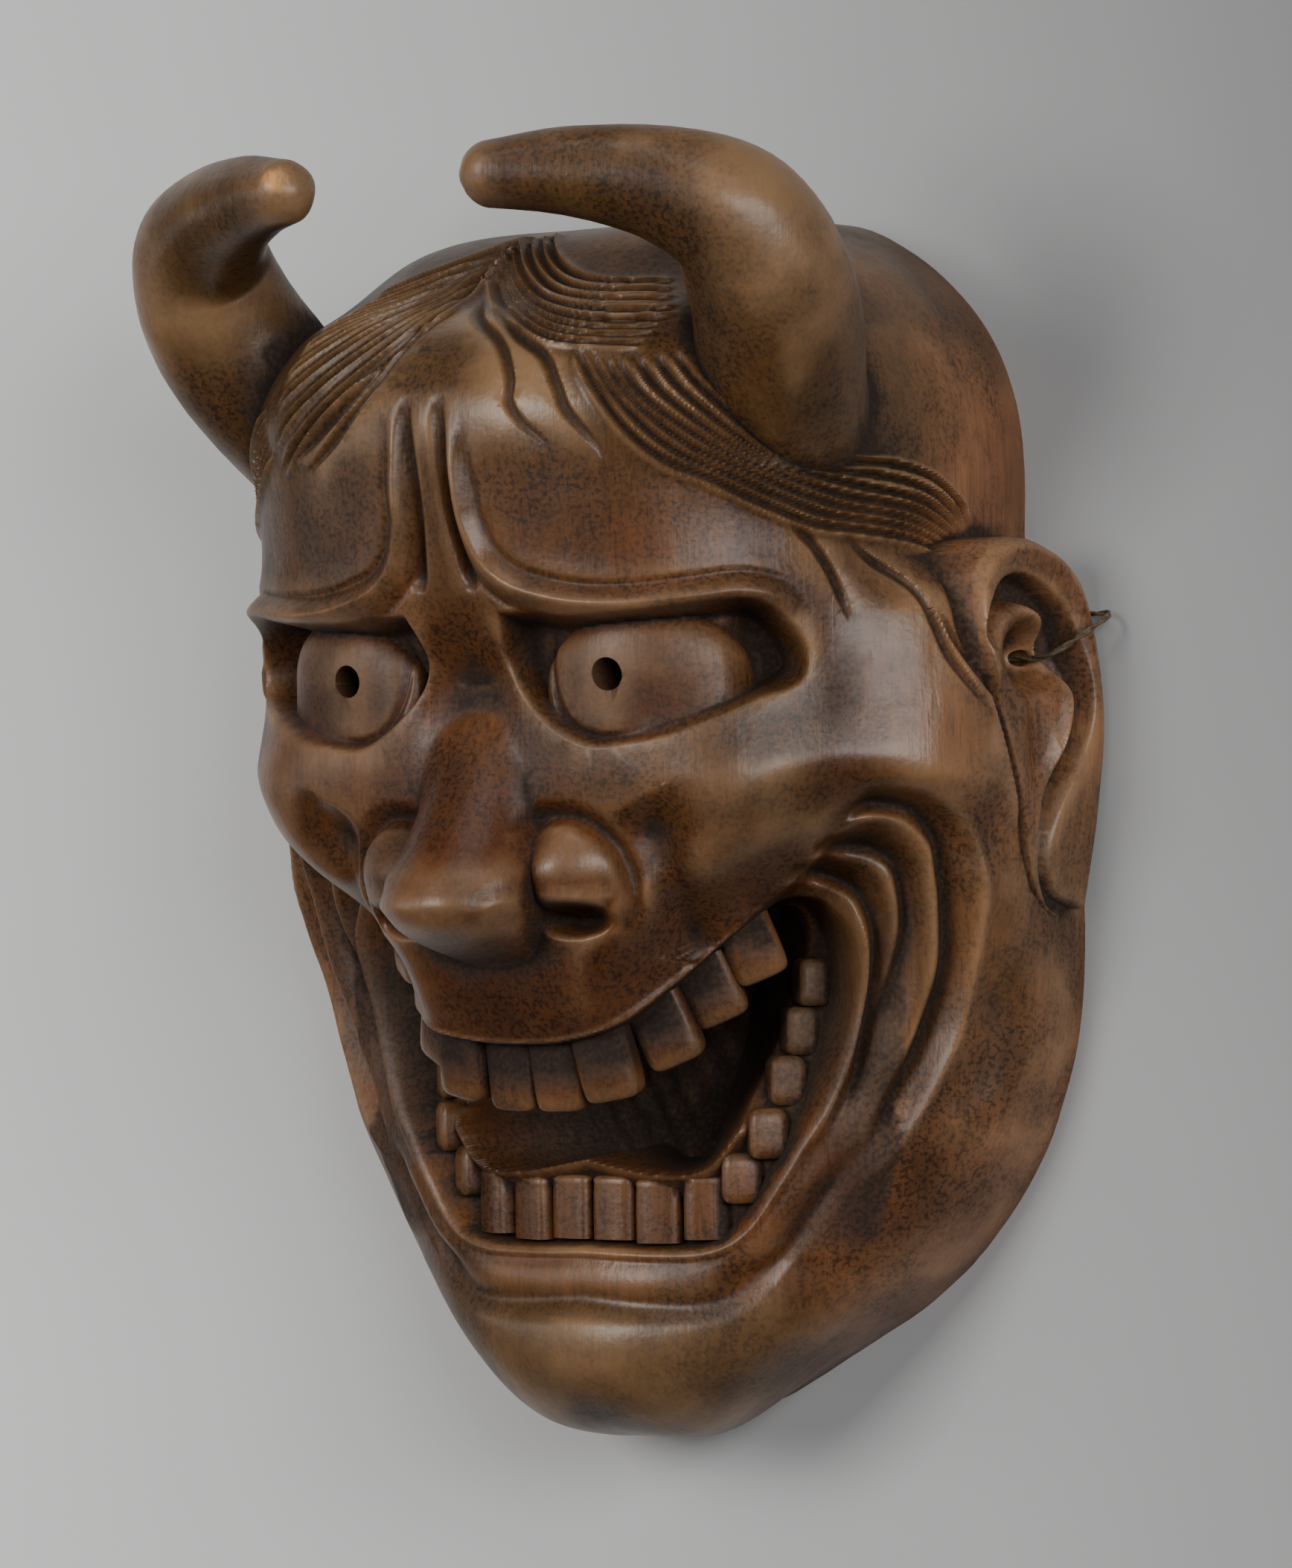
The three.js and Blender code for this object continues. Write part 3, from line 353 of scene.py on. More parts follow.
# carved face, in degrees round it and mm along it: eyes, nose, brow, folds and mouth. A line has its
# height, width and reach in mm, how steeply its two ends fade, and its path
carving = {
    "root": {"y": 30, "width": 13, "depth": 8.0},
    "wing": {"x": 21.6, "y": -7.5, "z": 84.2, "radius": 11.8, "flat": 1.1},
    "wingTop": {"at": (10, -9), "width": 6, "height": 2.2},
    "wingCrease": {"height": -2.8, "width": 2.0, "reach": 9, "ends": (6, 6), "path": [
        (7.4, -0.5), (9, 2.2), (11.6, 3.6), (15.6, 2.8), (19.4, -1.6), (21.6, -9), (21.8, -16), (20.2, -22)]},
    "wingRim": {"height": 1.1, "width": 2.6, "reach": 8, "ends": (5, 5), "path": [
        (5.5, -17.5), (8.1, -14.4), (11.4, -13.2), (16.6, -13.8), (20.3, -13)]},
    "nostril": {"at": (13.6, -18.4), "size": (4.3, 3.0), "depth": 8.5},
    "smileFold": {"height": -5.6, "width": 6, "reach": 20, "ends": (4, 3), "path": [
        (23, 7), (25.2, -0.9), (27, -12.2), (29.5, -22.6), (33, -29)]},
    "cheek": {"at": (35.5, 6), "height": 2.8, "width": 13.0},
    "earGroove": {"height": -3.6, "width": 2.2, "reach": 10, "ends": (5, 5), "path": [
        (68.5, 33), (66, 36), (64.4, 42), (64.8, 50), (68.5, 57.5), (73, 62)]},
    "browBead": [(2.9, 84), (3.4, 78), (3.9, 72), (4.3, 65), (6, 57), (9, 52), (13, 49.3), (18, 47.6),
                 (24, 47.4), (31, 48.6), (36, 49.6), (40, 48.2), (43, 45)],
    "centreGroove": {"height": -3.4, "width": 1.5, "reach": 8, "ends": (4, 5, 0.2), "path": [
        (2.0, 86), (2.3, 80), (2.4, 72), (2.7, 64), (3.2, 57), (4.0, 51)]},
    "socket": [(7, 46), (10.9, 46), (15, 45), (19.4, 45), (27, 46), (33.8, 47.6), (38, 47.3), (41.3, 43.7),
               (43.6, 38.7), (43.9, 33.7), (42, 29.8), (37, 27), (30, 22.5), (25, 19.8), (18.4, 18),
               (14, 20.5), (10.5, 25), (7.5, 31), (6, 38), (7, 46)],
    "eyeball": {"at": (24.4, 31), "size": (14.2, 15.2), "under": 2.2},
    "lidLine": {"height": -1.1, "width": 0.9, "reach": 8, "ends": (6, 6), "path": [
        (12.4, 43), (11.6, 37), (12.2, 29), (14.6, 22.6), (19, 19.8), (26, 20.6), (33, 24.6), (40, 29.6)]},
    "folds": {
        "crest": (1.5, 2.0, [(47.4, 1.6), (50, 5.6), (53.8, 7.6), (58.6, 6.6), (63.6, 2), (66.8, -3.8),
                             (68, -9.5), (68.7, -17.2), (69, -26), (68.8, -42), (66.6, -53.4),
                             (63.6, -63.4), (61, -70.3), (57.4, -76), (53.9, -80)]),
        "outerGroove": (-5.6, 2.5, [(46, -2.5), (51, 4.2), (54.4, 5.6), (58.9, 4), (62.9, -1.8), (64.5, -9.5),
                                    (65.8, -17.2), (66.9, -28.7), (66.5, -38), (64.9, -48), (62, -57.9),
                                    (59.2, -66.4), (55.9, -74)]),
        "outerRoll": (1.0, 2.0, [(47, -0.9), (51.5, 2.2), (56.5, 0.8), (60.8, -4.4), (62.6, -13.3),
                                 (63.6, -22.5), (63.9, -31.7), (63, -43.3), (60.6, -54), (57, -65)]),
        "middleGroove": (-4.3, 1.8, [(45.2, -5.4), (49.3, -3.6), (55, -3.9), (58.8, -7.6), (60.6, -14.9),
                                     (61.3, -24), (60.9, -32.4), (59.6, -41), (58, -50)]),
        "middleRoll": (0.9, 1.7, [(44.4, -7.4), (48.9, -5.8), (54.8, -8.2), (57.7, -13), (59.4, -21),
                                  (59.6, -28)]),
        "innerGroove": (-4.2, 1.8, [(42.4, -10.3), (47.6, -8.7), (53.8, -11.6), (56.6, -16.2), (58.1, -23.4),
                                    (58.3, -32.4), (57.6, -44), (56, -55), (52, -67)]),
        "lipRoll": (1.5, 1.9, [(40, -13), (45.4, -11.6), (51.8, -13.8), (54.6, -19), (56.1, -26), (56.5, -36),
                               (55, -48), (52, -59), (48.4, -68.5), (43.6, -78)])},
    "cheekValley": {"height": -2.2, "width": 5.5, "reach": 18, "ends": (3, 3), "path": [
        (71.7, -26), (73.4, -36), (74, -46), (73, -55), (70, -63)]},
    "chinBoss": {"at": (0, -108), "width": 12, "height": 3.0},
    "mouth": [(0, -47.5), (9, -46.5), (18, -42.8), (25, -36), (31.5, -29), (38, -22), (44, -16), (49, -15.2),
              (52, -18), (54.2, -23), (55.2, -30), (55.2, -38), (53.6, -47), (51, -56), (47.2, -65.4),
              (42.4, -75.5), (37, -84.9), (30, -89.6), (18, -90.5), (0, -90)],
    "well": [(0, -46.5), (9, -45.5), (18, -41.8), (25, -35), (31.5, -28), (38, -21.5), (44, -17.5),
             (49, -17.5), (51, -22), (50.6, -29), (48, -38), (45, -48), (40.3, -57), (35.2, -66), (29, -73),
             (18, -74), (0, -71)],
    "gumDrop": 5.5,
    "gumStep": 5.0,
    "floor": 22.0,
    "floorRipple": 0.8,
}


def wholeOutline(half, steps=6):
    # half outline from the middle line round and back to it, closed by its mirror image
    path = curved(half, steps)
    return np.concatenate([path, path[-2:0:-1] * [-1, 1], path[:1]])


def cutLine(name, profile=bump):
    # a line on both halves of the face, its profile carried along it and faded at its ends
    cut = carving[name]
    line = Reach(bothSides(curved(cut["path"])), cut["reach"])
    return line.faded(cut["height"] * profile(line.far, cut["width"]), *cut["ends"])


def mound(name, across):
    # round mound on both halves of the face, degrees taken as so many mm across
    cut = carving[name]
    far = np.hypot((gridTurn - cut["at"][0]) * across, gridQ - cut["at"][1])
    return cut["height"] * bump(far, cut["width"])


def carveNose(r):
    root = carving["root"]
    r = r - root["depth"] * bump(np.hypot(gridTurn * 1.7, (gridQ - root["y"]) * 1.1), root["width"])
    # ridge: a round section at each level, its height and radius from two rows of values
    radius = knots(gridQ, form["noseRound"])
    middle = knots(gridQ, form["noseRidge"]) - radius
    reach = radius ** 2 - (middle * gridSide) ** 2
    level = (gridQ < form["noseRidge"][-1][0]) & (gridQ > form["noseRidge"][0][0]) & (reach > 0)
    ridge = middle * gridFront + np.sqrt(np.maximum(reach, 0))
    r = np.where(level, joined(r, ridge, 3 + 3 * rising(gridQ, -14, 18)), r)
    # nostril wings: balls either side of the tip, their rim curling over the nostril
    wing = carving["wing"]
    reach = wing["radius"] ** 2 - ((gridQ - wing["y"]) * wing["flat"]) ** 2
    reach = reach - (wing["x"] * gridFront - wing["z"] * gridSide) ** 2
    ball = wing["x"] * gridSide + wing["z"] * gridFront + np.sqrt(np.maximum(reach, 0))
    r = np.where(reach > 0, joined(r, ball, 9 - 5.5 * rising(gridTurn, 13, 6)), r)
    r += mound("wingTop", 1.6)
    r += cutLine("wingCrease")
    r += cutLine("wingRim", peak)
    hole = carving["nostril"]
    return r - hole["depth"] * np.exp(-ovalFar(gridTurn, gridQ, hole) ** 4)


def carveTemple(r):
    # near temple filled out to the ear's face, as far forward as the ear's front edge
    fill = earFace(gridQ, 0) / (gridSide + ear["face"]["slope"] * gridFront + 1e-6)
    share = smooth((gridDeg - 46 - 17 * rising(gridQ, 12, -18)) / 22)
    share = share * rising(gridQ, -24, 14) * rising(gridQ, 60, -16)
    edge = np.array(ear["outline"][1:9], float)
    share = share * smooth((fill * gridFront - np.interp(gridQ, edge[:, 0], edge[:, 1]) + 1.5) / 3)
    return r + np.maximum(fill - r, 0) * share


def carveBrow(r):
    # bead with a fine groove beside it, and the two grooves between the brows
    bead = Reach(bothSides(curved(carving["browBead"])), 14)
    shape = 1.5 * bump(bead.far, 5.5) + 1.9 * bump(bead.far, 1.9) - 0.9 * bump(bead.far - 3.9, 1.1)
    r += shape * bead.faded(1, 5, 8)
    return r + cutLine("centreGroove")


def carveEyes(r):
    # sockets sunk under the brow, eyeballs swelling in them, and a line along the lid
    outline = curved(carving["socket"], 5)
    eye = np.maximum(insideOf(outline, 14), insideOf(outline * [-1, 1], 14))
    deep = 3.6 + 6.4 * rising(gridQ, 19, 15)
    outer = 5 * rising(gridTurn, 33.5, 5)
    sunk = r - (deep + outer) * smooth((eye + 0.8) / 4)
    eyeball = carving["eyeball"]
    (atX, atY), (sizeX, sizeY) = eyeball["at"], eyeball["size"]
    swell = 1 - ((gridTurn - atX) / sizeX) ** 2 - ((gridQ - atY) / sizeY) ** 2
    ball = baseField - deep - outer + (deep + outer - eyeball["under"]) * np.sqrt(np.maximum(swell, 0))
    r = np.where(eye > -1.5, np.where(swell > 0, joined(sunk, ball, 0.9), sunk), r)
    return r + cutLine("lidLine")


def carveFolds(r):
    # nested rolls and grooves round the corner of the mouth: a groove is round, a roll half crisp
    for height, width, path in carving["folds"].values():
        fold = Reach(bothSides(curved(path)), 10)
        shape = bump(fold.far, width)
        if height > 0:
            shape = 0.5 * shape + 0.5 * peak(fold.far, width)
        r += height * shape * fold.faded(1, 7, 4.5)
    r += cutLine("cheekValley")
    return r + mound("chinBoss", 0.75)


def gumRadius(psi, q):
    # shelf that the teeth stand on, set back from the jaw's surface, more so above
    return lowerRadius(psi, q) - carving["gumDrop"] - carving["gumStep"] * rising(q, -66, 26)


def carveMouth(r):
    # lips with a fine edge, the gum shelf inside them, and the well behind the teeth
    mouth = insideOf(wholeOutline(carving["mouth"]), 14)
    r += 0.9 * bump(mouth + 1.5, 1.1) * rising(gridQ, -12, -12)
    r += rising(gridQ, -66, -12) * (2.0 * bump(mouth + 4.8, 3.6) - 1.7 * bump(mouth + 10.6, 2.2))
    well = insideOf(wholeOutline(carving["well"]), 10)
    gum = gumRadius(gridPsi, gridQ) + 5 * bump(well, 3.5) * rising(gridQ, -58, -8)
    r = np.where(mouth > -0.8, r + (np.minimum(gum, r) - r) * rising(mouth, -0.6, 1.8), r)
    ripple = carving["floorRipple"] * np.sin(gridQ / 2.1 + 0.08 * gridDeg) * np.sin(gridDeg / 3.3)
    bottom = (carving["floor"] + ripple) / np.cos(np.clip(gridPsi, -1.2, 1.2))
    return np.where(well > -0.8, r + (np.minimum(bottom, r) - r) * rising(well, -0.6, 1.6), r)


def faceRelief():
    r = carveNose(baseField)
    r += cutLine("smileFold")
    r += mound("cheek", 1.3)
    r = carveTemple(r)
    r += cutLine("earGroove")
    return carveMouth(carveFolds(carveEyes(carveBrow(r))))


def meshFrom(name, points, faces):
    # mesh in metres from points in millimetres and triangles or quads as index rows
    mesh = bpy.data.meshes.new(name)
    faces = np.asarray(faces, np.int32)
    mesh.vertices.add(len(points))
    mesh.vertices.foreach_set("co", (np.asarray(points) * 0.001).ravel().astype(np.float32))
    mesh.loops.add(faces.size)
    mesh.loops.foreach_set("vertex_index", faces.ravel())
    mesh.polygons.add(len(faces))
    mesh.polygons.foreach_set("loop_start", np.arange(len(faces), dtype=np.int32) * faces.shape[1])
    mesh.update(calc_edges=True)
    mesh.validate()
    thing = bpy.data.objects.new(name, mesh)
    bpy.context.scene.collection.objects.link(thing)
    return thing


def gridFaces(rows, columns, closed=False):
    # two triangles per cell of a grid of points, wrapping round where it is closed
    i = np.arange(columns if closed else columns - 1)
    j = np.arange(rows - 1)[:, None]
    a = j * columns + i
    b = j * columns + (i + 1) % columns
    c = b + columns
    d = a + columns
    return np.concatenate([np.stack([a, b, c], -1).reshape(-1, 3), np.stack([a, c, d], -1).reshape(-1, 3)])


def welded(points, faces):
    # points closer than a thousandth of a millimetre become one, faces left without area go
    key = np.round(points, 3)
    _, first, back = np.unique(key, axis=0, return_index=True, return_inverse=True)
    faces = back.ravel()[faces]
    keep = (faces[:, 0] != faces[:, 1]) & (faces[:, 1] != faces[:, 2]) & (faces[:, 2] != faces[:, 0])
    return points[first], faces[keep]


def domeSolid(name, points):
    # closed half-shell: the grid, its flat side in spokes, and its two ends
    rows, columns = points.shape[:2]
    flat = points.reshape(-1, 3)
    faces = [gridFaces(rows, columns)]
    hub = len(flat)
    low = hub + 1
    high = hub + 2
    ends = [(0, build["shiftY"], 0), (0, points[0, 0, 1], 0), (0, points[-1, 0, 1], 0)]
    left = np.arange(rows) * columns
    right = left + columns - 1
    spoke = np.full(rows - 1, hub)
    faces.append(np.stack([spoke, left[:-1], left[1:]], -1))
    faces.append(np.stack([spoke, right[1:], right[:-1]], -1))
    i = np.arange(columns - 1)
    last = (rows - 1) * columns
    faces.append(np.stack([np.full(columns - 1, low), i + 1, i], -1))
    faces.append(np.stack([np.full(columns - 1, high), last + i, last + i + 1], -1))
    faces.append([[hub, columns - 1, low], [hub, low, 0]])
    faces.append([[hub, last, high], [hub, high, last + columns - 1]])
    points, faces = welded(np.concatenate([flat, ends]), np.concatenate(faces))
    return meshFrom(name, points, faces)


# hair: strands cut as gouge grooves, each lock given by a few strands that the others are spread between;
# points in degrees round the face and mm along it
hair = {
    "points": 40,
    "gouge": 1.1,
    "mass": 0.8,
    "edge": 0.35,
    "locks": {
        "nearTop": {"strands": 8, "depth": 1.9, "guides": [
            [(1.5, 130.3), (6.4, 120.8), (11.9, 113.7), (18.6, 109.7), (29, 109)],
            [(-4.9, 126), (1.9, 114.7), (12.4, 102.3), (20.9, 98.4), (30.5, 99.4)],
            [(-2.6, 115.2), (2.6, 107), (10.1, 98.3), (16.2, 93.9), (27, 93)]]},
        "nearBrow": {"strands": 7, "depth": 1.9, "guides": [
            [(17.9, 92.6), (20.4, 86.1), (23.8, 79.4), (28, 74.7), (32.9, 72), (40.7, 66.2), (45.3, 63.4),
             (53.3, 62.2), (61.3, 60.6), (69.7, 57)],
            [(22.6, 90.9), (24.8, 85.3), (29.5, 80.1), (35.4, 75.5), (42.4, 72.2), (49.8, 69.2), (56, 68),
             (62, 66.6), (68, 63.4), (72.9, 60)],
            [(28.5, 92.7), (30.6, 87.8), (33.5, 83.7), (37.5, 79.1), (41.9, 75.6), (49.2, 75.2), (57.2, 75.3),
             (65.2, 73.3), (71.4, 68.2), (73.9, 62.5)]]},
        "farTop": {"strands": 8, "depth": 1.8, "guides": [
            [(-1, 129), (-6.1, 123.3), (-12, 119), (-18.5, 115.4), (-26.5, 110.2)],
            [(-4.9, 124), (-9.5, 114), (-13, 106), (-18, 99), (-26, 92)],
            [(-5, 115.5), (-3.4, 104), (-6, 94), (-13, 85), (-22.8, 75.5)]]},
        "farBrow": {"strands": 6, "depth": 1.5, "guides": [
            [(-24, 80), (-30, 75), (-38, 69.5), (-46, 66), (-56, 64), (-68, 60)],
            [(-27, 86), (-33, 81), (-41, 75.5), (-50, 73.5), (-60, 72.5), (-71, 66)]]}},
    "loose": {"depth": 1.8, "width": 1.5, "mirrored": False, "paths": [
        [(0, 107.5), (2.9, 100.5), (7.3, 95.5), (9.6, 91.5), (10.9, 87), (10.9, 84), (12.6, 80.6), (15, 77.7),
         (16, 75)],
        [(2.4, 107), (6, 101.5), (10.4, 95.3), (14.4, 91), (16.3, 86), (17.6, 82), (20.8, 76.8), (22, 72.6)],
        [(-0.9, 104), (-4.4, 95.5), (-6.8, 87.8), (-11, 81.3), (-14.2, 77.9), (-19.5, 73.6)],
        [(-3.6, 99), (-9, 87), (-15, 80.5), (-21.5, 76)]]},
    "wisps": {"depth": 1.7, "width": 1.35, "mirrored": True, "paths": [
        [(40.7, 65.3), (44.7, 59.7), (47.5, 52.1), (49.8, 41.8)],
        [(48.5, 62.1), (53, 56), (57.9, 50.4), (59.9, 42.8), (61.8, 35.2), (65.3, 27.5), (68.8, 20.8)],
        [(60.1, 46.6), (62.9, 39), (67.4, 29.5), (72.8, 21.8), (73.2, 17.1), (74.9, 12.4), (75.7, 5.5)]]},
}


def lockStrands(lock):
    # strands spread evenly between the guide strands, each point on straight lines through the guides
    guides = np.array([resampled(curved(guide, 6), hair["points"]) for guide in lock["guides"]])
    places = np.linspace(0, 1, lock["strands"])
    at = np.linspace(0, 1, len(guides))
    flat = guides.reshape(len(guides), -1)
    between = np.array([np.interp(places, at, column) for column in flat.T]).T
    return between.reshape(len(places), hair["points"], 2)


def resampled(path, count):
    # the path again, its points evenly spaced along it
    length = np.concatenate([[0], np.cumsum(np.linalg.norm(np.diff(path, axis=0), axis=1))])
    at = np.linspace(0, length[-1], count)
    return np.stack([np.interp(at, length, path[:, k]) for k in range(path.shape[1])], -1)


def trough(distance, width):
    # gouge cut: a round hollow with a crisp edge on either side
    return np.maximum(1 - (distance / width) ** 2, 0)


def carveHair(r):
    # each lock a low rounded mass with crisp gouge cuts; loose strands and wisps are single cuts
    depth = np.zeros(r.shape)
    for lock in hair["locks"].values():
        fan = Reach(lockStrands(lock), 5)
        ends = fan.faded(1, 14, 9)
        r += hair["mass"] * bump(np.maximum(fan.far - 1.2, 0), 1.1) * ends
        r += hair["edge"] * bump(fan.far - 1.35, 0.35) * ends
        depth = np.maximum(depth, lock["depth"] * trough(fan.far, hair["gouge"]) * ends)
    for cut in (hair["loose"], hair["wisps"]):
        paths = [resampled(curved(path, 6), hair["points"]) for path in cut["paths"]]
        if cut["mirrored"]:
            paths = [side for path in paths for side in bothSides(path)]
        fan = Reach(paths, 4)
        taper = fan.faded(1, 5, 3)
        wide = cut["width"] * (0.35 + 0.65 * taper)
        depth = np.maximum(depth, cut["depth"] * taper * trough(fan.far, wide))
    return r - depth


def ringsMesh(name, rings):
    # closed skin over rings of points, ends shut to their middles
    count, around = rings.shape[:2]
    points = np.concatenate([rings.reshape(-1, 3), rings[:1].mean(1), rings[-1:].mean(1)])
    i = np.arange(around)
    start = np.stack([np.full(around, count * around), (i + 1) % around, i], -1)
    last = (count - 1) * around
    end = np.stack([np.full(around, count * around + 1), last + i, last + (i + 1) % around], -1)
    faces = np.concatenate([gridFaces(count, around, True), start, end])
    a, b, c = points[faces[:, 0]], points[faces[:, 1]], points[faces[:, 2]]
    if np.einsum("ij,ij->i", a, np.cross(b, c)).sum() < 0:
        faces = faces[:, ::-1]
    points, faces = welded(points, faces)
    return meshFrom(name, points, faces)


# horns: swelling at the root, then curving up and in to a blunt tip; path in the mask's own frame
horn = {
    "path": [(58, 77.5, 52), (64, 93, 70), (70.5, 112, 85), (68.5, 125.5, 96), (57.5, 132.5, 105),
             (41.5, 135.5, 114), (28, 135.5, 121.5), (20.9, 135, 125.5)],
    "radii": [14.4, 16, 17, 17.6, 17.8, 17.4, 16.6, 15.2, 13.2, 11.4, 10, 8.8, 7.4, 6.2],
    "rings": 120,
    "around": 60,
    "facing": (0.37, -0.73, 0.52),
    "facets": 0.12,
    "tip": (0.955, 0.045),
}


def unitRows(rows):
    return rows / np.linalg.norm(rows, axis=1, keepdims=True)


def squareTo(path, facing):
    # two directions square to the path at each point, turned alike by one fixed direction
    along = unitRows(np.gradient(path, axis=0))
    side = unitRows(np.cross(along, facing))
    return side, np.cross(along, side)


def sweptRings(path, radius, around, facing):
    # circles of the given radii square to the path
    side, other = squareTo(path, facing)
    turn = 2 * np.pi * np.arange(around) / around
    ring = np.cos(turn)[None, :, None] * side[:, None] + np.sin(turn)[None, :, None] * other[:, None]
    return path[:, None] + np.asarray(radius).reshape(len(path), -1, 1) * ring


def addHorn(sign):
    # circles along the path, drawn in at the tip
    path = resampled(curved(horn["path"], 16), horn["rings"]) * [sign, 1, 1] + shift
    t = np.linspace(0, 1, horn["rings"])
    radius = np.interp(t, np.linspace(0, 1, len(horn["radii"])), horn["radii"])
    # round end: the last radii follow a quarter circle
    cap = np.clip((t - horn["tip"][0]) / horn["tip"][1], 0, 1)
    radius = radius * np.sqrt(1 - cap ** 2 * 0.97)
    # knife facets: shallow waves round and along the horn
    turn = 2 * np.pi * np.arange(horn["around"]) / horn["around"]
    wave = np.sin(5 * turn[None] + 9 * t[:, None]) + np.sin(3 * turn[None] - 17 * t[:, None] + 1)
    radius = radius[:, None] + horn["facets"] * wave * np.minimum(radius[:, None] / 8, 1)
    facing = np.array(horn["facing"]) * [sign, 1, 1]
    return ringsMesh("horn", sweptRings(path, radius, horn["around"], facing))


def toLine(y, z, line):
    # distance from points to a line of short straight pieces, with the share of the line it is nearest to
    best = np.full(np.shape(y), 1e3)
    share = np.zeros(np.shape(y))
    for k, (a, b) in enumerate(zip(line[:-1], line[1:])):
        along = b - a
        s = np.clip(((y - a[0]) * along[0] + (z - a[1]) * along[1]) / (along @ along + 1e-9), 0, 1)
        far = np.hypot(y - a[0] - along[0] * s, z - a[1] - along[1] * s)
        nearer = far < best
        best = np.where(nearer, far, best)
        share = np.where(nearer, (k + s) / (len(line) - 1), share)
    return best, share


def addEar(sign):
    # polar grid over the leaf, carved along its rim, furrow and inner leaf, then run back into the head
    outline = resampled(curved(ear["outline"], 10), ear["around"] + 1)[:-1]
    share = np.linspace(0.06, 1, ear["rings"]) ** 0.8
    y = ear["middle"][0] + (outline[None, :, 0] - ear["middle"][0]) * share[:, None]
    z = ear["middle"][1] + (outline[None, :, 1] - ear["middle"][1]) * share[:, None]
    z = np.maximum(z, 0)
    x = earFace(y, np.maximum(z, 6)) - 0.02 * np.maximum(-y, 0)
    far, at = toLine(y, z, curved(ear["rim"], 8))
    x += ear["rimHeight"] * bump(far, ear["rimWidth"]) * smooth((1 - at) * 4)
    # furrow inside the rim, narrower and shallower towards the lobe
    far, at = toLine(y, z, curved(ear["furrow"], 8))
    half = ear["furrowHalf"] * (1 - 0.55 * rising(at, 0.55, 0.3))
    depth = ear["furrowDepth"] * smooth((half + 0.8 - far) / 2.2) * smooth(at * 10 + 0.3)
    x -= depth * (1 - 0.45 * rising(at, 0.5, 0.3))
    far, at = toLine(y, z, curved(ear["leafEdge"], 8))
    x += ear["leafHeight"] * peak(far, ear["leafWidth"]) * smooth(at * 5) * smooth((1 - at) * 4)
    x -= ear["pocket"]["depth"] * np.exp(-ovalFar(y, z, ear["pocket"]) ** 3)
    x -= ear["dish"]["depth"] * bump(ovalFar(y, z, ear["dish"]), 1)
    x -= ear["edgeRound"] * rising(share[:, None], 0.94, 0.06) ** 2
    rings = np.stack([sign * x, y + build["shiftY"], z], -1)
    # front of the rim sloping down into the temple
    forward = ear["rimForward"] * rising(outline[:, 1], 24, 12) * rising(outline[:, 0], 8, 20)
    root = np.stack([np.full(len(outline), sign * ear["root"]), outline[:, 0] + build["shiftY"],
                     np.maximum(outline[:, 1], 0) + forward], -1)
    back = rings[-1:] + (root - rings[-1])[None] * np.linspace(0.15, 1, 6)[:, None, None]
    return ringsMesh("ear", np.concatenate([rings, back]))


# teeth: upper ones as (degrees round the face, width, height, thickness), the others as (degrees,
# place, width); a block is the thickness, height and share of it left at the tip
teeth = {
    "upper": [(4.4, 12.4, 13.2, 8), (13, 13, 12.8, 8.6), (21.3, 13.1, 12, 8.8), (29, 13, 11.4, 8.8),
              (36.6, 12.4, 10.4, 8.8)],
    "lower": [(6.2, -80.5, 10.4), (18.2, -81, 10.6), (29.6, -80, 10)],
    "lowerBlock": (7.5, 14, 0.9),
    "side": [(37.1, -75.4, 7.6), (42.3, -65.8, 7.4), (46.6, -54.6, 7), (50, -44, 6.6), (51.8, -33.5, 6)],
    "sideWidth": 1.15,
    "sideHeight": 5.8,
    "sideTip": 0.7,
    "inset": 8.6,
    "lipRoot": 3.5,
    "square": 0.42,
    "around": 32,
}


def unit(v):
    return np.asarray(v, float) / np.linalg.norm(v)


def toothRings(at, along, out, width, depth, height, tip=0.82):
    # rounded block: squarish rings up its height, drawn in over the last tenth, its front a low arch
    along = unit(along)
    across = unit(np.cross(along, out))
    front = np.cross(across, along)
    turn = 2 * np.pi * (np.arange(teeth["around"]) + 0.5) / teeth["around"]
    cx = np.sign(np.cos(turn)) * np.abs(np.cos(turn)) ** teeth["square"]
    cy = np.sign(np.sin(turn)) * np.abs(np.sin(turn)) ** teeth["square"]
    up = np.array([0, 0.3, 0.55, 0.74, 0.86, 0.93, 0.97, 0.99, 1.0])
    draw = np.array([1, 1, 0.995, 0.985, 0.96, tip + 0.09, tip, tip - 0.12, tip - 0.3])
    w = width / 2 * draw[:, None] * cx
    d = depth / 2 * draw[:, None] * cy
    d += 0.45 * (1 - (2 * w / width) ** 2) * (cy > 0)
    base = np.asarray(at)[None, None] + height * up[:, None, None] * along
    return base + w[..., None] * across + d[..., None] * front


def outward(sign, deg):
    # level direction away from the middle line
    return np.array([math.sin(sign * deg * degree), 0, math.cos(deg * degree)])


def lipPoint(sign, deg):
    # where an upper tooth starts, inside the lip
    q = float(knots(deg, form["lipLine"]))
    radius = float(baseRadius(deg * degree, q + 3)) - teeth["inset"]
    return place(sign * deg * degree, q + teeth["lipRoot"], radius)


def upperTeeth(sign):
    # each block square to the lip's run, then turned further down and a little back
    rows = []
    for deg, width, height, depth in teeth["upper"]:
        at = lipPoint(sign, deg)
        out = outward(sign, deg)
        down = unit(np.cross(unit(lipPoint(sign, deg + 2) - at), out))
        down = down if down[1] < 0 else -down
        down = unit(down * 0.55 + np.array([0, -1, 0]) * 0.45)
        down = unit(down - 0.16 * out)
        rows.append(toothRings(at, down, out, width, depth, height + teeth["lipRoot"]))
    return rows


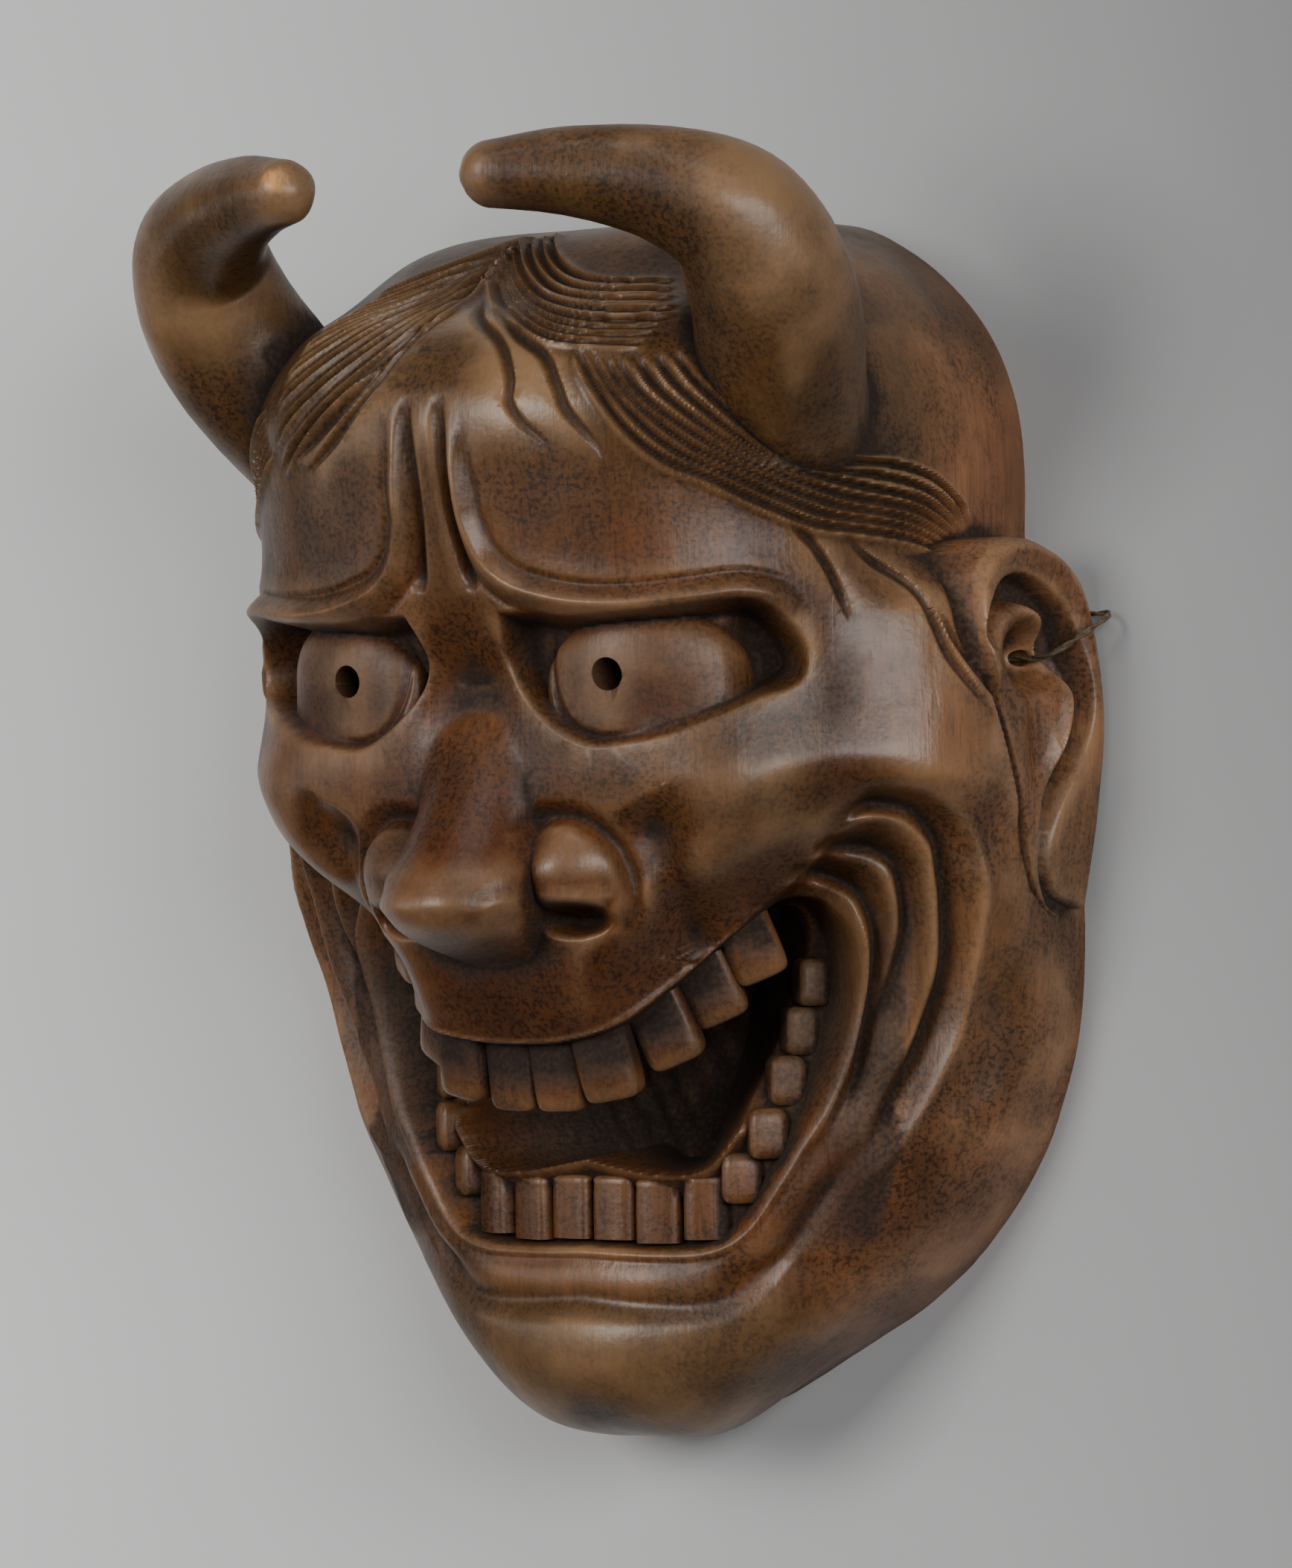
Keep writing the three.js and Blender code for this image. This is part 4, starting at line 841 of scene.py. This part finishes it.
def lowerTeeth(sign):
    # front ones upright behind the lip, side ones standing out of the gum
    rows = []
    for deg, q, width in teeth["lower"]:
        at = place(sign * deg * degree, q - 8.5, float(baseRadius(deg * degree, -80)) - 6)
        rows.append(toothRings(at, [0, 1, 0], outward(sign, deg), width, *teeth["lowerBlock"]))
    for deg, q, width in teeth["side"]:
        at = place(sign * deg * degree, q, float(gumRadius(deg * degree, q)) - 2)
        rows.append(toothRings(at, outward(sign, deg), [0, 1, 0], width * teeth["sideWidth"],
                               width * 0.5 + 7, teeth["sideHeight"], teeth["sideTip"]))
    return rows


# hollow at the back, with the wide shallow marks of the gouge that cleared it
hollow = {
    "rimWall": 12.0,
    "height": [(chin(60), 9), (chin(20), 12), (-95, 13), (-60, 13), (-40, 14), (-26, 24), (-12, 46), (2, 64),
               (16, 74), (32, 79), (50, 84), (70, 88), (crown(11), 88), (crown(25), 76), (crown(40), 62),
               (crown(62), 47)],
    "square": [(chin(60), 2), (-60, 2.4), (-20, 2.3), (10, 2.2), (crown(62), 2.1)],
    "columns": 150,
    "middleDense": 0.36,
    "rows": 170,
    "scoop": (9, 6),
    "gouge": 0.55,
    "below": 0.6,
}


def hollowGrid():
    # sections inside the head's own, their sides drawn in at both ends
    psi, q = np.meshgrid(spread(hollow["columns"], hollow["middleDense"]),
                         np.linspace(chin(60), crown(62), hollow["rows"]))
    close = smooth((crown(64) - q) / 14 + 0.3) * smooth((q - chin(64)) / 14 + 0.3)
    half = (knots(q, form["rimHalf"]) - hollow["rimWall"]) * (0.86 + 0.14 * close)
    r = section(psi, half, knots(q, hollow["height"]), knots(q, hollow["square"]))
    # staggered scoops, each a shallow bowl with a crisp edge to the next, none near the rim
    long, wide = hollow["scoop"]
    scoop = q / long + 0.5 * np.floor(psi * r / wide)
    across = np.abs((psi * r / wide) % 1 - 0.5) * 2
    along = np.abs(scoop % 1 - 0.5) * 2
    mark = (across ** 2 + along ** 2) * 0.5
    fade = rising(np.cos(psi) * r, 4, 10)
    return place(psi, q, r - hollow["gouge"] * mark * fade)


def merged(first, others, operation):
    # boolean steps on the first object, the others used up
    for other in others:
        step = first.modifiers.new("step", "BOOLEAN")
        step.operation = operation
        step.solver = "MANIFOLD"
        step.object = other
        applied(first)
        mesh = other.data
        bpy.data.objects.remove(other)
        bpy.data.meshes.remove(mesh)
    return first


def applied(thing):
    # its modifiers worked into its mesh
    graph = bpy.context.evaluated_depsgraph_get()
    mesh = bpy.data.meshes.new_from_object(thing.evaluated_get(graph))
    thing.modifiers.clear()
    old = thing.data
    thing.data = mesh
    bpy.data.meshes.remove(old)
    return thing


def thinned(thing, triangles):
    # triangles brought down to about the given number
    count = sum(len(p.vertices) - 2 for p in thing.data.polygons)
    if count > triangles:
        thin = thing.modifiers.new("thin", "DECIMATE")
        thin.ratio = triangles / count
        applied(thing)
    return thing


# holes and notches: pupils at (x, y) between two heights, cord holes at (y, z) between two places
# across and rising outwards, notches at (x, y) with length, width and height
holes = {
    "pupil": (33.4, 33.0),
    "pupilAcross": 7.0,
    "pupilSpan": (60, 125),
    "cordHole": (35.5, 15.4),
    "cordRadius": 1.8,
    "cordSpan": (66, 112),
    "cordMiddle": 89,
    "rise": 0.205,
    "notchAt": (86, 45.0),
    "notch": (46.0, 4.0, 6.1),
    "around": 28,
}


def rodBetween(name, a, b, radius):
    # round bar between two points of the mask's own frame
    a, b = np.asarray(a, float) + shift, np.asarray(b, float) + shift
    path = a + (b - a) * np.linspace(0, 1, 3)[:, None]
    return ringsMesh(name, sweptRings(path, np.full(3, radius), holes["around"], (0.0, 1.0, 0.3)))


def cutters():
    # bars and blocks that are cut away on both sides
    rows = []
    for sign in (-1, 1):
        x, y = holes["pupil"]
        low, high = [(sign * x, y, level) for level in holes["pupilSpan"]]
        rows.append(rodBetween("pupil", low, high, holes["pupilAcross"] / 2))
        y, z = holes["cordHole"]
        low, high = [(sign * side, y, z + (side - holes["cordMiddle"]) * holes["rise"])
                     for side in holes["cordSpan"]]
        rows.append(rodBetween("cord hole", low, high, holes["cordRadius"]))
        x, y = holes["notchAt"]
        long, wide, tall = np.array(holes["notch"]) / 2
        corners = np.array([[-long, -wide], [long, -wide], [long, wide], [-long, wide]])
        middle = np.array([sign * x, y + build["shiftY"]])
        rings = [np.concatenate([middle + corners, np.full((4, 1), level)], 1) for level in (-tall, tall)]
        rows.append(ringsMesh("notch", np.array(rings)))
    return rows


def addMask():
    # shell, then horns, ears and teeth joined to it, then hollow, holes and notches cut out of it
    radius = carveHair(faceRelief())
    print("face carved")
    shell = thinned(domeSolid("mask_carved", place(gridPsi, gridQ, radius)), build["shellTriangles"])
    print("shell", len(shell.data.polygons))
    parts = []
    for sign in (-1, 1):
        parts.append(addHorn(sign))
        parts.append(addEar(sign))
        parts += [ringsMesh("tooth", rings) for rings in upperTeeth(sign) + lowerTeeth(sign)]
    merged(shell, [merged(parts[0], parts[1:], "UNION")], "UNION")
    print("horns, ears and teeth joined", len(shell.data.polygons))
    merged(shell, [domeSolid("hollow", hollowGrid() - [0, 0, hollow["below"]])], "DIFFERENCE")
    thinned(shell, build["finalTriangles"])
    merged(shell, cutters(), "DIFFERENCE")
    print("mask", sum(len(p.vertices) - 2 for p in shell.data.polygons), "triangles")
    return shell


def dressed(thing, material):
    # one material on every face, and all faces smooth
    count = len(thing.data.polygons)
    thing.data.polygons.foreach_set("use_smooth", np.ones(count, bool))
    thing.data.polygons.foreach_set("material_index", np.zeros(count, np.int32))
    thing.data.materials.clear()
    thing.data.materials.append(material)


# wood: stain colours and the dark of dirt with painted shade, as linear red, green, blue; noise scales; and
# each tone as the range of noise it takes and the range of brightness, share or roughness that this becomes
wood = {
    "ground": (0.108, 0.040, 0.0120),
    "red": (0.068, 0.0185, 0.0046),
    "olive": (0.070, 0.035, 0.0110),
    "side": (0.190, 0.082, 0.034),
    "bare": (0.085, 0.052, 0.030),
    "worn": (0.46, 0.27, 0.14),
    "dirtAndShadeColour": (0.012, 0.0055, 0.0025),
    # near black of dirt and of painted shade in the hollows
    "chip": (0.55, 0.27, 0.09),
    "grainAcross": 640.0,
    "grainAlong": 26.0,
    "mottle": 42.0,
    "speckle": 950.0,
    "unevenStain": (0.35, 0.65, 0.55, 1.0),
    "grainTone": (0.3, 0.7, 0.78, 1.18),
    "bandTone": (0.3, 0.7, 0.76, 1.22),
    "cloudTone": (0.3, 0.62, 0.62, 1.12),
    "dotTone": (0.0, 1.0, 1.0, 0.42),
    "poreTone": (0.60, 0.70, 1.0, 0.66),
    "rubbed": (0.3, 0.6, 0.35, 1.0),
    "dirtAndShadeHeld": (0.3, 0.6, 0.75, 1.0),
    "gloss": 0.34,
    "reflection": 0.42,
    "cloudHeight": 0.0004,
    "grainHeight": 0.00009,
    "dotHeight": 0.00004,
}


def neighbours(mesh):
    # both ends of every edge, each edge once in either direction
    edges = np.empty(len(mesh.edges) * 2, np.int64)
    mesh.edges.foreach_get("vertices", edges)
    edges = edges.reshape(-1, 2)
    return np.concatenate([edges[:, 0], edges[:, 1]]), np.concatenate([edges[:, 1], edges[:, 0]])


def averaged(values, here, there, rounds, share=0.5):
    # each value drawn part of the way to the mean of its neighbours, a number of times
    count = np.maximum(np.bincount(here, minlength=len(values)), 1)
    for _ in range(rounds):
        if values.ndim == 1:
            mean = np.bincount(here, values[there], len(values)) / count
        else:
            sums = [np.bincount(here, values[there, k], len(values)) for k in range(3)]
            mean = np.stack(sums, -1) / count[:, None]
        values = values + (mean - values) * share
    return values


def addAttribute(mesh, name, values):
    layer = mesh.attributes.new(name, "FLOAT", "POINT")
    layer.data.foreach_set("value", np.clip(values, 0, 1).astype(np.float32))


def readPoints(mesh):
    # corners in millimetres and their directions outward
    co = np.empty(len(mesh.vertices) * 3, np.float32)
    mesh.vertices.foreach_get("co", co)
    normal = np.empty(len(mesh.vertices) * 3, np.float32)
    mesh.vertex_normals.foreach_get("vector", normal)
    return co.reshape(-1, 3).astype(float) * 1000, normal.reshape(-1, 3).astype(float)


# age and stain: how many rounds of averaging make the fine, middle and broad surfaces, from how many mm
# under them dirt and painted shade gather and over them wood is rubbed, and how fast; zones as (across,
# half width, y, half height), across in mm or degrees
ageing = {
    "rounds": (3, 12, 60),
    "dirtAndShadeFrom": (0.04, 0.12, 0.45),
    "dirtAndShadeGain": (2.4, 1.0, 0.34),
    "wearFrom": (0.03, 0.14),
    "wearGain": (2.6, 0.9),
    "eyes": (36, 17, 31, 12),
    "nose": (0, 27, -8, 24),
    "lips": (0, 46, -38, 16),
    "cheeks": (40, 16, 2, 20),
    "chips": [(-24.3, 137.6, 128, 2.4), (-20.5, 134.5, 130, 1.8), (43, 146, 112, 1.5), (38, 143, 116, 1.1),
              (24.5, -42.2, 84, 1.1), (-60, 142, 101, 1.4)],
}


def gathered(lift, starts, gains):
    # sum over the scales of what lies beyond its start, times its gain
    return sum(gain * np.maximum(level - start, 0) for level, start, gain in zip(lift, starts, gains))


def zone(name, across, y, power=4):
    # 1 in the middle of a zone, falling steeply at its edge
    middle, wide, level, tall = ageing[name]
    return np.exp(-(((across - middle) / wide) ** power + ((y - level) / tall) ** 4))


def paintWear(mesh):
    # dirt and painted shade where the surface lies under its own average at three scales, wear where it
    # stands above
    p, n = readPoints(mesh)
    here, there = neighbours(mesh)
    x, y, z = p[:, 0], p[:, 1] - build["shiftY"], p[:, 2]
    deg = np.abs(np.arctan2(x, z)) / degree
    lift = []
    level = p
    for rounds in ageing["rounds"]:
        level = averaged(level, here, there, rounds)
        lift.append(averaged(((level - p) * n).sum(1), here, there, 1))
    # painted shade on top of real dirt: the lower a place lies under its surroundings, the darker it is
    dirtAndShade = gathered(lift, ageing["dirtAndShadeFrom"], ageing["dirtAndShadeGain"])
    wear = gathered([-away for away in lift], ageing["wearFrom"], ageing["wearGain"])
    # painted shade darkens the mouth's inside and the eyes under the brow; teeth and coarse facets less
    # rubbed
    mouth = rising(z, 50, -16) * rising(y, -14, -6) * rising(y, -92, 6) * (deg < 62) * (n[:, 2] > -0.1)
    teethLike = rising(deg, 60, -6) * smooth((-34 - y + deg * 0.6) / 6) * rising(y, -92, 5)
    eyes = zone("eyes", np.abs(x), y) * rising(z, 60, 20)
    long = averaged(np.bincount(here, np.linalg.norm(p[here] - p[there], axis=1), len(p))
                    / np.maximum(np.bincount(here, minlength=len(p)), 1), here, there, 1)
    wear = np.minimum(wear, 0.8) * rising(long, 4.2, -2) * (1 - 0.55 * teethLike)
    # painted shade: the mouth's inside and the eyes added to the darkened hollows
    addAttribute(mesh, "dirtAndShade", np.minimum(dirtAndShade + 0.85 * mouth + 0.35 * eyes, 1))
    addAttribute(mesh, "wear", averaged(wear, here, there, 1))
    addAttribute(mesh, "chip", chipped(p))
    # stain zones, by place on the head
    side = smooth((deg - 52 + np.maximum(-y - 30, 0) * 0.1) / 22) * rising(y, 150, -40)
    hornLike = smooth((np.hypot(x * 0.75, z - 40) + y * 0.9 - 148) / 12) * rising(y, 62, 14)
    hairLike = smooth((y - 62 - 8 * np.sin(deg / 9)) / 16) * rising(deg, 72, -14)
    chinLike = rising(y, -96, -10) * rising(deg, 58, -18)
    olive = np.maximum(np.maximum(hornLike, 0.75 * hairLike), chinLike)
    nose = zone("nose", np.abs(x), y) * rising(z, 84, 8)
    lips = zone("lips", deg, y, 6) * rising(z, 50, 20)
    cheeks = zone("cheeks", deg, y)
    red = np.maximum(np.maximum(0.8 * nose, eyes), np.maximum(0.75 * lips, 0.55 * cheeks))
    inside = rising(hollowDepth(p), 1.5, 1.5) * (n[:, 2] + 0.35 * np.abs(n[:, 1]) < 0.2)
    for name, values in (("side", side), ("olive", olive), ("red", red), ("inside", inside)):
        addAttribute(mesh, name, averaged(values, here, there, 4))


def chipped(p):
    # 1 within each chip's radius, fading over the next millimetre
    chip = np.zeros(len(p))
    for x, y, z, size in ageing["chips"]:
        far = np.sqrt((p[:, 0] - x) ** 2 + (p[:, 1] - build["shiftY"] - y) ** 2 + (p[:, 2] - z) ** 2)
        chip = np.maximum(chip, smooth((size + 0.8 - far) / 1.4))
    return chip


def hollowDepth(p):
    # how far a point lies inside the hollow's wall, in millimetres
    y = p[:, 1] - build["shiftY"]
    inner = knots(y, form["rimHalf"]) - hollow["rimWall"]
    depth = knots(y, hollow["height"])
    squash = np.hypot(p[:, 0] / np.maximum(inner + 3, 1), p[:, 2] / np.maximum(depth + 3, 1))
    return np.where((y < 128) & (y > -130), (1 - squash) * 40 + 1.5, 0)


class Shade:
    # short names for the nodes of one material
    def __init__(self, name):
        self.material = bpy.data.materials.new(name)
        self.material.use_nodes = True
        self.tree = self.material.node_tree
        self.shader = self.tree.nodes["Principled BSDF"]
        self.coords = self.node("TexCoord", {}).outputs["Object"]

    def feed(self, socket, value):
        # a link from another node, a colour as a tuple of three, or a plain value
        if isinstance(value, bpy.types.NodeSocket):
            self.tree.links.new(value, socket)
        elif isinstance(value, tuple):
            socket.default_value = (*value, 1)
        else:
            socket.default_value = value

    def node(self, kind, inputs, **settings):
        # new node of a kind, with its settings, and its inputs fed by name or number
        step = self.tree.nodes.new("ShaderNode" + kind)
        for name, value in settings.items():
            setattr(step, name, value)
        for name, value in inputs.items():
            self.feed(step.inputs[name], value)
        return step

    def noise(self, scale, detail=3.0, rough=0.55, offset=0.0):
        # noise of the place, stretched by a scale for each axis
        moved = [offset, offset * 1.7, -offset]
        spread = self.node("Mapping", {"Vector": self.coords, "Scale": list(scale), "Location": moved})
        cloud = self.node("TexNoise", {"Vector": spread.outputs["Vector"], "Scale": 1.0,
                                       "Detail": detail, "Roughness": rough})
        return cloud.outputs["Fac"]

    def ranged(self, value, low, high, toLow=0.0, toHigh=1.0):
        # value between low and high brought to the other two numbers, held at the ends
        step = self.node("MapRange", {"Value": value, "From Min": low, "From Max": high,
                                      "To Min": toLow, "To Max": toHigh})
        return step.outputs["Result"]

    def calc(self, operation, a, b):
        return self.node("Math", {0: a, 1: b}, operation=operation).outputs["Value"]

    def mix(self, factor, a, b, blend="MIX"):
        # inputs 6 and 7 and output 2 are the node's colour ones
        return self.node("Mix", {0: factor, 6: a, 7: b}, data_type="RGBA", blend_type=blend).outputs[2]

    def layer(self, name):
        return self.node("Attribute", {}, attribute_name=name).outputs["Fac"]

    def bump(self, height, distance, below=None):
        inputs = {"Distance": distance, "Height": height}
        if below is not None:
            inputs["Normal"] = below
        return self.node("Bump", inputs).outputs["Normal"]


def woodMaterial():
    # stain zones over the ground colour, then grain, clouds, dots and pores, then wear, chips, and dirt with
    # painted shade
    s = Shade("carved wood")
    across, along = wood["grainAcross"], wood["grainAlong"]
    streak = s.noise((across, along, across), 3.0, 0.6)
    band = s.noise((across * 0.12, along * 0.28, across * 0.12), 3.0, 0.5, 3.0)
    mottle = s.noise((wood["mottle"],) * 3, 5.0, 0.6, 7.0)
    patch = s.noise((wood["mottle"] * 0.4,) * 3, 3.0, 0.55, 11.0)
    speckle = s.noise((wood["speckle"],) * 3, 2.0, 0.5, 5.0)
    pore = s.noise((across * 2.1, along * 4.5, across * 2.1), 1.0, 0.5, 9.0)
    # zones with edges broken by the mottle, and two kinds of cloud
    uneven = s.ranged(mottle, *wood["unevenStain"])
    colour = wood["ground"]
    for stain in ("side", "red", "olive"):
        colour = s.mix(s.calc("MULTIPLY", s.layer(stain), uneven), colour, wood[stain])
    colour = s.mix(s.calc("MULTIPLY", s.ranged(patch, 0.5, 0.68), 0.55), colour, wood["olive"])
    colour = s.mix(s.calc("MULTIPLY", s.ranged(patch, 0.46, 0.3), 0.5), colour, wood["red"])
    # brightness: the tones multiplied together
    dots = s.calc("MULTIPLY", s.ranged(speckle, 0.50, 0.60), s.ranged(mottle, 0.66, 0.46))
    tone = s.ranged(streak, *wood["grainTone"])
    for noise, name in ((band, "bandTone"), (mottle, "cloudTone"), (dots, "dotTone"), (pore, "poreTone")):
        tone = s.calc("MULTIPLY", tone, s.ranged(noise, *wood[name]))
    colour = s.mix(1.0, colour, tone, "MULTIPLY")
    # rubbed edges, bare wood inside the hollow, chips, then dirt and painted shade in the low places
    wear = s.calc("MULTIPLY", s.layer("wear"), s.ranged(mottle, *wood["rubbed"]))
    colour = s.mix(s.calc("MULTIPLY", wear, 0.5), colour, wood["worn"])
    colour = s.mix(s.layer("inside"), colour, s.mix(band, wood["bare"], wood["side"]))
    colour = s.mix(s.calc("MULTIPLY", s.layer("chip"), s.ranged(streak, 0.35, 0.6)), colour, wood["chip"])
    # painted shade with dirt: the hollows, the mouth's inside and the eyes darkened towards near black
    dirtAndShade = s.calc("MULTIPLY", s.layer("dirtAndShade"), s.ranged(speckle, *wood["dirtAndShadeHeld"]))
    colour = s.mix(s.calc("MINIMUM", dirtAndShade, 0.93), colour, wood["dirtAndShadeColour"])
    s.feed(s.shader.inputs["Base Color"], colour)
    gloss = s.ranged(mottle, 0.3, 0.7, wood["gloss"] + 0.14, wood["gloss"] - 0.03)
    gloss = s.calc("ADD", gloss, s.calc("MULTIPLY", dirtAndShade, 0.5))
    gloss = s.calc("ADD", gloss, s.calc("MULTIPLY", s.layer("inside"), 0.3))
    s.feed(s.shader.inputs["Roughness"], gloss)
    s.shader.inputs["Specular IOR Level"].default_value = wood["reflection"]
    ripple = s.bump(mottle, wood["cloudHeight"])
    fine = s.bump(streak, wood["grainHeight"], ripple)
    s.feed(s.shader.inputs["Normal"], s.bump(speckle, wood["dotHeight"], fine))
    return s.material


mask = addMask()
dressed(mask, woodMaterial())
mask.data.set_sharp_from_angle(angle=build["sharpAngle"] * degree)
paintWear(mask.data)
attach(mask, "root")
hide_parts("mask")
print("wood coloured")

# hanging twine: two strands laid together, through each ear, over its edge and across the back
twine = {
    "strand": 0.38,
    "lay": 13.0,
    "apart": 0.86,
    "step": 0.7,
    "around": 10,
    "facing": (0.12, 0.3, 0.95),
    "near": [(58, 37, 7.7), (66, 35.5, 10.7), (78, 35.5, 13.1), (88, 35.5, 15.2), (94.5, 35.5, 16.5),
             (99.5, 37.6, 15.7), (103.4, 41.3, 11), (104.6, 43.6, 6.6), (103.9, 44.8, 3.2), (100.5, 45, 1.5),
             (88, 45, 1.25), (72, 45, 1.25), (40, 45, 1.55), (0, 45, 1.65)],
    "colour": (0.060, 0.040, 0.020),
    "pale": (0.15, 0.105, 0.06),
    "fibre": 900,
}


def addTwine():
    # each strand winds about the path, one turn to each lay length
    near = curved(np.array(twine["near"]) + shift, 14)
    path = np.concatenate([near * [-1, 1, 1], near[-2::-1]])
    length = np.sqrt((np.diff(path, axis=0) ** 2).sum(1)).sum()
    path = resampled(path, int(length / twine["step"]))
    at = np.linspace(0, length, len(path))
    side, other = squareTo(path, twine["facing"])
    strands = []
    for start in (0, math.pi):
        turn = (2 * np.pi * at / twine["lay"] + start)[:, None]
        centre = path + twine["strand"] * twine["apart"] * (np.cos(turn) * side + np.sin(turn) * other)
        rings = sweptRings(centre, np.full(len(path), twine["strand"]), twine["around"], twine["facing"])
        strands.append(ringsMesh("twine", rings))
    print("twine length", round(length, 1))
    return merged(strands[0], strands[1:], "UNION")


def twineMaterial():
    s = Shade("twine fibre")
    fibre = s.noise((twine["fibre"],) * 3, 3.0, 0.6)
    tint = s.mix(s.ranged(fibre, 0.4, 0.7), twine["colour"], twine["pale"])
    s.feed(s.shader.inputs["Base Color"], tint)
    s.shader.inputs["Roughness"].default_value = 0.85
    s.feed(s.shader.inputs["Normal"], s.bump(fibre, 0.0001))
    return s.material


cord = addTwine()
cord.name = "hanging_twine"
dressed(cord, twineMaterial())
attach(cord, "root")
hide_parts("hanging_cord")


# plain floor the mask lies on, its colour graded from pale to deep grey as painted falloff of light from
# the left; area lights as name, place, size in metres, power and colour, all turned towards a point over
# the floor; and a dim sky
studio = {
    "floorSize": 8.0,
    "pale": (0.86, 0.86, 0.86),
    "deep": (0.13, 0.13, 0.132),
    "paintedFalloff": (-0.30, 0.30),
    "slant": 0.35,
    "lights": [("over", (-0.3, 0.3, 1.3), (0.55, 0.55), 10.5, (1, 0.985, 0.96)),
               ("left", (-0.7, 0.0, 0.6), (0.3, 0.6), 0.9, (1, 0.99, 0.97)),
               ("side", (1.1, 0.25, 0.75), (0.4, 1.0), 12.5, (1, 1, 1)),
               ("crown", (0.3, 1.2, 0.8), (1.0, 0.35), 3.0, (0.97, 0.985, 1))],
    "lightsMeet": (0, 0, 0.05),
    "sky": (0.6, 0.61, 0.63),
    "skyStrength": 0.1,
}


def addFloor():
    half = studio["floorSize"] * 500
    corners = [(-half, -half, 0), (half, -half, 0), (half, half, 0), (-half, half, 0)]
    floor = meshFrom("floor", corners, [[0, 1, 2, 3]])
    s = Shade("paper")
    spot = s.node("SeparateXYZ", {"Vector": s.coords})
    # painted light: the floor's colour darkens towards plus x and, less, plus y, as light falling off would
    slant = s.calc("ADD", spot.outputs["X"], s.calc("MULTIPLY", spot.outputs["Y"], studio["slant"]))
    paintedFalloff = s.ranged(slant, *studio["paintedFalloff"])
    s.feed(s.shader.inputs["Base Color"], s.mix(paintedFalloff, studio["pale"], studio["deep"]))
    s.shader.inputs["Roughness"].default_value = 0.9
    floor.data.materials.append(s.material)
    return floor


ground = addFloor()


def addLight(name, position, size, power, colour):
    data = bpy.data.lights.new(name, "AREA")
    data.shape = "RECTANGLE"
    data.size, data.size_y = size
    data.energy = power
    data.color = colour
    lamp = bpy.data.objects.new(name, data)
    bpy.context.scene.collection.objects.link(lamp)
    lamp.location = position
    away = np.array(position) - np.array(studio["lightsMeet"])
    lamp.rotation_euler = Vector(away).to_track_quat("Z", "Y").to_euler()


def addSky():
    world = bpy.data.worlds.new("world")
    bpy.context.scene.world = world
    world.use_nodes = True
    background = world.node_tree.nodes["Background"]
    background.inputs["Color"].default_value = (*studio["sky"], 1)
    background.inputs["Strength"].default_value = studio["skyStrength"]


for row in studio["lights"]:
    addLight(*row)
addSky()
print("studio lit")
